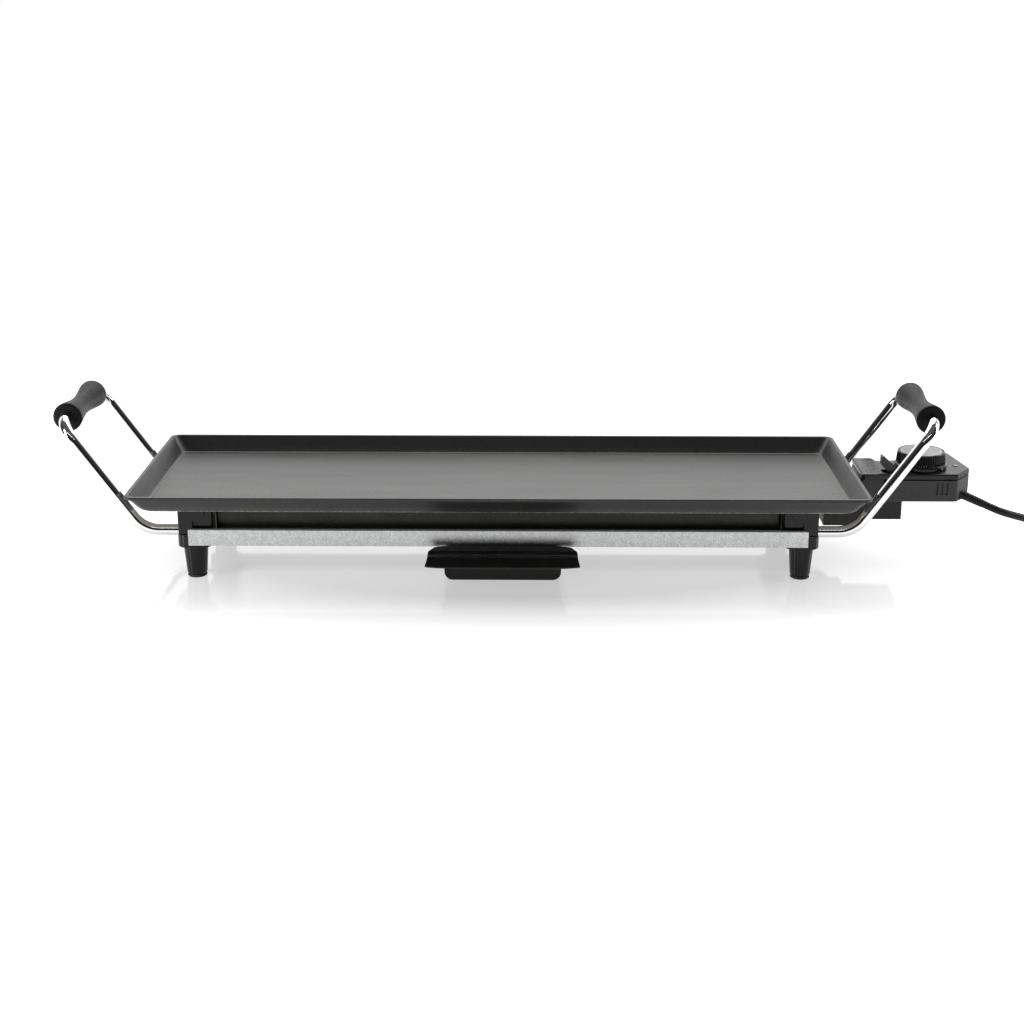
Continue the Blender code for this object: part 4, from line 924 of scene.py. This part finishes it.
def make_drawer_handle():
    """Front plate, and over it a hood: flat on top, stepping down and flaring out to a wide lip."""
    outline = rounded_corners([
        (DRAWER_X - DRAWER_HALF_X, FRONT_BOTTOM_Z, 0.008), (DRAWER_X + DRAWER_HALF_X, FRONT_BOTTOM_Z, 0.008),
        (DRAWER_X + DRAWER_HALF_X, FRONT_TOP_Z, 0.001), (DRAWER_X - DRAWER_HALF_X, FRONT_TOP_Z, 0.001),
    ], 10)
    plate = prism(outline, DRAWER_FRONT_Y - 0.0030, DRAWER_FRONT_Y - 0.0003, "Y")
    piece("drawer_front", plate, "black_phenolic", "drawer", bevel=0.0007)
    line = rounded_path([
        (0.0, HOOD_BACK_Y, HOOD_TOP_Z - HOOD_SHEET / 2, 0.0),
        (0.0, HOOD_STEP_Y, HOOD_TOP_Z - HOOD_SHEET / 2 - 0.0008, 0.0045),
        (0.0, HOOD_STEP_Y - 0.0030, HOOD_LIP_Z + 0.0046, 0.0045),
        (0.0, HOOD_LIP_Y, HOOD_LIP_Z, 0.0),
    ], 12)
    columns = 48
    bm = bmesh.new()
    sides = []
    for index, point in enumerate(line):
        before = line[max(index - 1, 0)]
        after = line[min(index + 1, len(line) - 1)]
        along = (after - before).normalized()
        normal = Vector((0.0, along.z, -along.y))
        forwards = max((HOOD_BACK_Y - point.y) / (HOOD_BACK_Y - HOOD_LIP_Y), 0.0)
        half = HOOD_HALF_BACK + (HOOD_HALF_LIP - HOOD_HALF_BACK) * math.sqrt(forwards)
        dip = HOOD_DIP * (1 - 2 * forwards)
        for offset in (-HOOD_SHEET / 2, HOOD_SHEET / 2):
            row = []
            for column in range(columns + 1):
                across = 2 * column / columns - 1
                place = Vector((DRAWER_X + half * across, point.y, point.z - dip * abs(across) ** 6))
                row.append(bm.verts.new(place + normal * offset))
            sides.append(row)
    lower = sides[0::2]
    upper = sides[1::2]
    for rows in (lower, upper):
        for back, front in zip(rows, rows[1:]):
            for column in range(columns):
                bm.faces.new((back[column], back[column + 1], front[column + 1], front[column]))
    for under, over in ((lower[0], upper[0]), (lower[-1], upper[-1])):
        for column in range(columns):
            bm.faces.new((under[column], under[column + 1], over[column + 1], over[column]))
    for column in (0, columns):
        for back, front, back_over, front_over in zip(lower, lower[1:], upper, upper[1:]):
            bm.faces.new((back[column], front[column], front_over[column], back_over[column]))
    piece("drawer_hood", bm, "black_phenolic", "drawer", ["drawer_handle"], bevel=0.0010, segments=4,
          angle=40.0)


# ---------------------------------------------------------------- plug-in thermostat

CONTROL_LEFT_X = 0.356
CONTROL_RIGHT_X = 0.4660
CONTROL_FRONT_Y = -0.029
CONTROL_BOTTOM_Z = 0.0620
CONTROL_SEAM_Z = 0.0840
CONTROL_TOP_Z = 0.0900
NECK_FRONT_Y = -0.0205
NECK_END_X = 0.3790
DIAL_X = 0.418
DIAL_BASE_Z = 0.0910
DIAL_TOP_Z = 0.1065
DIAL_BASE_RADIUS = 0.0255
DIAL_RIBS = 60
RIB_DEPTH = 0.0013
RIB_POINTS = 10
SKIRT_LOW_RADIUS = 0.0240
SKIRT_TOP_RADIUS = 0.0232
SKIRT_Z = DIAL_BASE_Z + 0.0060
DIAL_LIP_RADIUS = 0.0231
DIAL_FACE_RADIUS = 0.0213
RIBS_FROM_RADIUS = 0.0225
LEVER_X = 0.3915
LEVER_Z = 0.0815
LEVER_FRONT_Y = -0.022
LEVER_BACK_Y = -0.012
LEVER_BOSS = 0.0052
LEVER_SLOT_GAP = 0.0006
LENS_X = 0.4533
LENS_Y = 0.0020
LENS_HALF_X = 0.0031
LENS_HALF_Y = 0.0019
VENTS = 3
VENT_X = 0.4292
VENT_SPACING = 0.0049
VENT_HALF_WIDTH = 0.00105
VENT_BOTTOM_Z = 0.0690
VENT_TOP_Z = 0.0805
VENT_DEPTH = 0.0016


def control_outline(neck_front_y=CONTROL_FRONT_Y):
    """The case from above: a neck at the socket, and a body that runs back to a rounded point."""
    front = [(CONTROL_LEFT_X, CONTROL_FRONT_Y, 0.003)]
    if neck_front_y > CONTROL_FRONT_Y:
        front = [
            (CONTROL_LEFT_X, neck_front_y, 0.003), (NECK_END_X, neck_front_y, 0.0008),
            (NECK_END_X + 0.0016, CONTROL_FRONT_Y, 0.0008),
        ]
    return front + [
        (0.4490, CONTROL_FRONT_Y, 0.006), (CONTROL_RIGHT_X, -0.0070, 0.010), (0.4545, 0.0680, 0.011),
        (0.4120, 0.0270, 0.020), (0.3790, 0.0195, 0.003), (0.3760, 0.0310, 0.003),
        (CONTROL_LEFT_X, 0.0310, 0.003),
    ]


def oval(x, y, half_x, half_y, low, high):
    """An upright block with round ends."""
    radius = half_y - 0.0001
    return prism(rounded_corners([
        (x - half_x, y - half_y, radius), (x + half_x, y - half_y, radius),
        (x + half_x, y + half_y, radius), (x - half_x, y + half_y, radius),
    ], 8), low, high)


def make_control_case():
    """Top and bottom shells, with the lever's slot, the lens hole, the vents and the lead's gland."""
    top = prism(rounded_corners(control_outline(), 10), CONTROL_SEAM_Z, CONTROL_TOP_Z)
    slot = cutter(box(
        (0.3762, LEVER_FRONT_Y - LEVER_SLOT_GAP, 0.0855), (0.3985, LEVER_BACK_Y + LEVER_SLOT_GAP, 0.094),
    ))
    reach = 0.004
    levels = (CONTROL_TOP_Z - reach, CONTROL_TOP_Z + reach)
    lens = cutter(oval(LENS_X, LENS_Y, LENS_HALF_X, LENS_HALF_Y, *levels))
    piece("control_case_top", top, "control_top", "controller", ["controller_top_shell"], bevel=0.0016,
          segments=5, cutters=[slot, lens])
    outline = rounded_corners(control_outline(NECK_FRONT_Y), 10)
    bottom = prism(outline, CONTROL_BOTTOM_Z, CONTROL_SEAM_Z - 0.0003)
    cutters = []
    for index in range(VENTS):
        x = VENT_X + index * VENT_SPACING
        cutters.append(cutter(box(
            (x - VENT_HALF_WIDTH, CONTROL_FRONT_Y - 0.004, VENT_BOTTOM_Z),
            (x + VENT_HALF_WIDTH, CONTROL_FRONT_Y + VENT_DEPTH, VENT_TOP_Z),
        )))
    gland = turned([(0.0045, -0.0010), (0.0045, 0.020)], 40, aimed(RELIEF_START, RELIEF_ALONG))
    cutters.append(cutter(gland))
    piece("control_case_bottom", bottom, "control_plastic", "controller", ["controller_bottom_shell"],
          bevel=0.0006, segments=3, cutters=cutters)


def make_dial():
    """Knob with a plain foot ring, a ribbed skirt and a recessed face."""
    profile = filleted([
        (0.0, DIAL_BASE_Z, 0.0), (DIAL_BASE_RADIUS, DIAL_BASE_Z, 0.0004),
        (DIAL_BASE_RADIUS, DIAL_BASE_Z + 0.0027, 0.0006), (0.0243, DIAL_BASE_Z + 0.0036, 0.0004),
        (SKIRT_LOW_RADIUS, SKIRT_Z, 0.0),
    ], 4)
    ribs_from = DIAL_BASE_Z + 0.0040
    ribs_to = DIAL_TOP_Z - 0.0018
    skirt_steps = 8
    for step in range(1, skirt_steps + 1):
        share = step / skirt_steps
        radius = SKIRT_LOW_RADIUS + (SKIRT_TOP_RADIUS - SKIRT_LOW_RADIUS) * share
        profile.append((radius, SKIRT_Z + (ribs_to - SKIRT_Z) * share))
    face_z = DIAL_TOP_Z - 0.0009
    profile += filleted([
        (DIAL_LIP_RADIUS, DIAL_TOP_Z - 0.0012, 0.0), (DIAL_LIP_RADIUS, DIAL_TOP_Z, 0.0009),
        (DIAL_FACE_RADIUS, DIAL_TOP_Z, 0.0003), (DIAL_FACE_RADIUS, face_z, 0.0), (0.0, face_z, 0.0),
    ], 4)
    rings = []
    points = DIAL_RIBS * RIB_POINTS
    runout = 0.0008
    for radius, z in profile:
        start = min(max((z - ribs_from) / runout, 0.0), 1.0)
        stop = min(max((ribs_to + runout - z) / runout, 0.0), 1.0)
        depth = RIB_DEPTH * start * stop if radius > RIBS_FROM_RADIUS else 0.0
        ring = []
        for index in range(points):
            angle = 2 * math.pi * index / points
            groove = (0.5 + 0.5 * math.cos(angle * DIAL_RIBS)) ** 1.1
            reach = max(radius - depth * groove, 0.00002)
            ring.append((DIAL_X + reach * math.cos(angle), reach * math.sin(angle), z))
        rings.append(ring)
    piece("dial_knob", loft(rings), "black_phenolic", "dial", ["dial"], angle=50.0)
    keep("dial_disc", "dial_film")


PRINT_LOW_Z = DIAL_TOP_Z - 0.00012
PRINT_HIGH_Z = DIAL_TOP_Z - 0.00003
TICK_OUTER = 0.0186
NUMBERS = ("0", "80", "120", "160", "200", "240", "250")
NUMBER_SIZE = 0.0034
NUMBER_RADIUS = 0.0133
NUMBER_STEP = 45
TICKS_PER_NUMBER = 3
SCALE_START = 225


def annulus(inner, outer, low, high, steps=96):
    """A flat ring about the dial's axis."""
    bm = bmesh.new()
    rows = []
    for step in range(steps + 1):
        angle = math.radians(360.0 * step / steps)
        rows.append([
            bm.verts.new((DIAL_X + radius * math.cos(angle), radius * math.sin(angle), z))
            for radius, z in ((inner, low), (outer, low), (outer, high), (inner, high))
        ])
    for first, second in zip(rows, rows[1:]):
        for index in range(4):
            after = (index + 1) % 4
            bm.faces.new((first[index], first[after], second[after], second[index]))
    bmesh.ops.remove_doubles(bm, verts=bm.verts, dist=0.000001)
    return bm


def dial_number(text, angle):
    """A number on the dial's face, its foot towards the middle."""
    curve = bpy.data.curves.new("number", "FONT")
    curve.body = text
    curve.size = NUMBER_SIZE
    curve.extrude = 0.00004
    curve.align_x = "CENTER"
    curve.align_y = "CENTER"
    source = bpy.data.objects.new("number", curve)
    SCENE.collection.objects.link(source)
    x = DIAL_X + NUMBER_RADIUS * math.cos(angle)
    place = Vector((x, NUMBER_RADIUS * math.sin(angle), (PRINT_LOW_Z + PRINT_HIGH_Z) / 2))
    source.matrix_world = Matrix.Translation(place) @ Matrix.Rotation(angle - math.pi / 2, 4, "Z")
    bpy.context.view_layer.update()
    mesh = bpy.data.meshes.new_from_object(source.evaluated_get(bpy.context.evaluated_depsgraph_get()))
    mesh.transform(source.matrix_world)
    bpy.data.objects.remove(source, do_unlink=True)
    bm = bmesh.new()
    bm.from_mesh(mesh)
    bpy.data.meshes.remove(mesh)
    return bm


def make_dial_print():
    """Printed scale on the dial's face: two rings, ticks with a longer one at each number, and numbers."""
    levels = (PRINT_LOW_Z, PRINT_HIGH_Z)
    piece("dial_ring_outer", annulus(TICK_OUTER, 0.0192, *levels), "white_print", "dial")
    piece("dial_ring_inner", annulus(0.0096, 0.0100, *levels), "white_print", "dial")
    marks = bmesh.new()
    for index in range(TICKS_PER_NUMBER * (len(NUMBERS) - 1) + 1):
        angle = math.radians(SCALE_START - index * NUMBER_STEP / TICKS_PER_NUMBER)
        long = index % TICKS_PER_NUMBER == 0
        inner = 0.0163 if long else 0.0172
        half = 0.00025 if long else 0.00015
        turn = Matrix.Translation((DIAL_X, 0.0, 0.0)) @ Matrix.Rotation(angle, 4, "Z")
        corners = [(inner, -half), (TICK_OUTER, -half), (TICK_OUTER, half), (inner, half)]
        loft([[turn @ Vector((x, y, z)) for x, y in corners] for z in levels], marks)
    piece("dial_ticks", marks, "white_print", "dial")
    for index, text in enumerate(NUMBERS):
        number = dial_number(text, math.radians(SCALE_START - index * NUMBER_STEP))
        piece(f"dial_number_{index}", number, "white_print", "dial")


def make_release_lever():
    """Thumb blade that rises from a round boss on the lever's pin."""
    outline = [(0.3750, 0.1058), (0.3752, 0.0970), (0.3818, 0.0905)]
    steps = 24
    for step in range(steps + 1):
        angle = math.radians(185 + 190 * step / steps)
        outline.append((LEVER_X + LEVER_BOSS * math.cos(angle), LEVER_Z + LEVER_BOSS * math.sin(angle)))
    outline += [(0.3966, 0.0885), (0.3768, 0.1060)]
    piece("thumb_lever", prism(outline, LEVER_FRONT_Y, LEVER_BACK_Y, "Y"), "control_plastic", "lever",
          ["release_lever"], bevel=0.0005, segments=3)


make_plate()
make_legs()
make_handle("left", -1)
make_handle("right", 1)
make_drawer()
make_drawer_handle()
make_control_case()
make_dial()
make_dial_print()
make_release_lever()
for finish, rounding, nodes in (
    ("galvanised", 0.0, ("base_tray", "drawer_rail_left", "drawer_rail_right")),
    ("dark_sheet", 0.0, ("element_cover",)),
    ("element_steel", 0.0, ("drain_spout", "heating_element", "element_clamp_left", "element_clamp_right")),
    ("element_steel", 0.0005, ("probe_well",)),
    ("zinc", 0.0, ("controller_screw_left", "controller_screw_right", "contact_sleeve_front",
                   "contact_sleeve_rear", "thermostat_unit", "dial_spindle", "lever_pin")),
    ("zinc", 0.0005, ("terminal_pin_front", "terminal_pin_rear")),
    ("zinc", 0.0008, ("temperature_probe",)),
    ("black_phenolic", 0.0007, ("socket_housing",)),
    ("black_phenolic", 0.0005, ("connector_block",)),
    ("pilot_lens", 0.0005, ("pilot_lens",)),
):
    for kept in nodes:
        keep(kept, finish, rounding)


# ---------------------------------------------------------------- studio

FLOOR_HALF = 1.6
FLOOR_Z = -0.0002
GLOW_STRETCH = (0.45, 1.0, 1.0)
# GLOW_NEAR to GLOW_FAR is how far the painted shadow on the table reaches.
GLOW_NEAR = 0.13
GLOW_FAR = 0.27
GLOW_IN_PAINTED_SHADOW = 0.50
GLOW_HIGH = 1.02
FRONT_LIGHT = 0.016
BACK_LIGHT = 1.3
TOP_LIGHT = 0.10
WHITE = (1.0, 1.0, 1.0, 1.0)


def make_floor():
    """Pale glossy light table that glows, dimmer near the middle as a painted shadow under the griddle and
    brighter away from it.
    """
    corners = [(x * FLOOR_HALF, y * FLOOR_HALF, 0) for x, y in ((-1, -1), (1, -1), (1, 1), (-1, 1))]
    mesh = bpy.data.meshes.new("table")
    mesh.from_pydata(corners, [], [(0, 1, 2, 3)])
    floor = bpy.data.objects.new("table", mesh)
    floor.location.z = FLOOR_Z
    SCENE.collection.objects.link(floor)
    look = bpy.data.materials.new("look_table")
    look.use_nodes = True
    nodes = look.node_tree.nodes
    links = look.node_tree.links
    shader = nodes["Principled BSDF"]
    shader.inputs["Base Color"].default_value = (0.28, 0.28, 0.28, 1.0)
    shader.inputs["Roughness"].default_value = 0.07
    shader.inputs["Emission Color"].default_value = WHITE
    coordinates = nodes.new("ShaderNodeTexCoord")
    squeezed = nodes.new("ShaderNodeMapping")
    squeezed.inputs["Scale"].default_value = GLOW_STRETCH
    links.new(coordinates.outputs["Object"], squeezed.inputs["Vector"])
    distance = nodes.new("ShaderNodeVectorMath")
    distance.operation = "LENGTH"
    links.new(squeezed.outputs["Vector"], distance.inputs[0])
    # Painted shadow: the glow drops from GLOW_HIGH far out to a lower level under and around the griddle.
    glow_and_painted_shadow = map_range(look.node_tree, distance.outputs["Value"], GLOW_NEAR, GLOW_FAR, GLOW_IN_PAINTED_SHADOW, GLOW_HIGH)
    links.new(glow_and_painted_shadow, shader.inputs["Emission Strength"])
    mesh.materials.append(look)


def make_softbox(name, place, aim, width, height, power):
    """A rectangular light, in metres and watts."""
    data = bpy.data.lights.new(name, "AREA")
    data.shape = "RECTANGLE"
    data.size = width
    data.size_y = height
    data.energy = power
    light = bpy.data.objects.new(name, data)
    light.location = place
    light.rotation_euler = (Vector(aim) - Vector(place)).to_track_quat("-Z", "Y").to_euler()
    SCENE.collection.objects.link(light)


def make_world():
    """White where the camera sees it; as a light it is bright above and behind and dimmer in front."""
    world = bpy.data.worlds.new("studio")
    world.use_nodes = True
    SCENE.world = world
    nodes = world.node_tree.nodes
    links = world.node_tree.links
    nodes.clear()
    coordinates = nodes.new("ShaderNodeTexCoord")
    split = nodes.new("ShaderNodeSeparateXYZ")
    links.new(coordinates.outputs["Generated"], split.inputs["Vector"])
    behind = map_range(world.node_tree, split.outputs["Y"], 0.2, 0.6, FRONT_LIGHT, BACK_LIGHT)
    above = map_range(world.node_tree, split.outputs["Z"], 0.35, 0.8, 0.0, 1.0)
    level = nodes.new("ShaderNodeMix")
    links.new(above, level.inputs[0])
    links.new(behind, level.inputs[2])
    level.inputs[3].default_value = TOP_LIGHT
    lit = nodes.new("ShaderNodeBackground")
    links.new(level.outputs[0], lit.inputs["Strength"])
    white = nodes.new("ShaderNodeBackground")
    path = nodes.new("ShaderNodeLightPath")
    both = nodes.new("ShaderNodeMixShader")
    output = nodes.new("ShaderNodeOutputWorld")
    links.new(path.outputs["Is Camera Ray"], both.inputs["Fac"])
    links.new(lit.outputs["Background"], both.inputs[1])
    links.new(white.outputs["Background"], both.inputs[2])
    for background in (lit, white):
        background.inputs["Color"].default_value = WHITE
    links.new(both.outputs["Shader"], output.inputs["Surface"])


make_floor()
make_world()
make_softbox("overhead", (0.0, 1.0, 1.45), (0.0, 0.0, 0.0), 2.2, 1.2, 36.0)
make_softbox("left_strip", (-1.15, -0.60, 0.35), (-0.2, 0.0, 0.05), 0.26, 0.8, 7.0)
make_softbox("right_strip", (1.30, 0.15, 0.45), (0.35, 0.0, 0.05), 0.25, 0.8, 5.0)
make_softbox("front_strip", (0.0, -1.35, 1.35), (0.0, 0.0, 0.05), 2.4, 0.05, 2.0)
SCENE.view_settings.view_transform = "Standard"
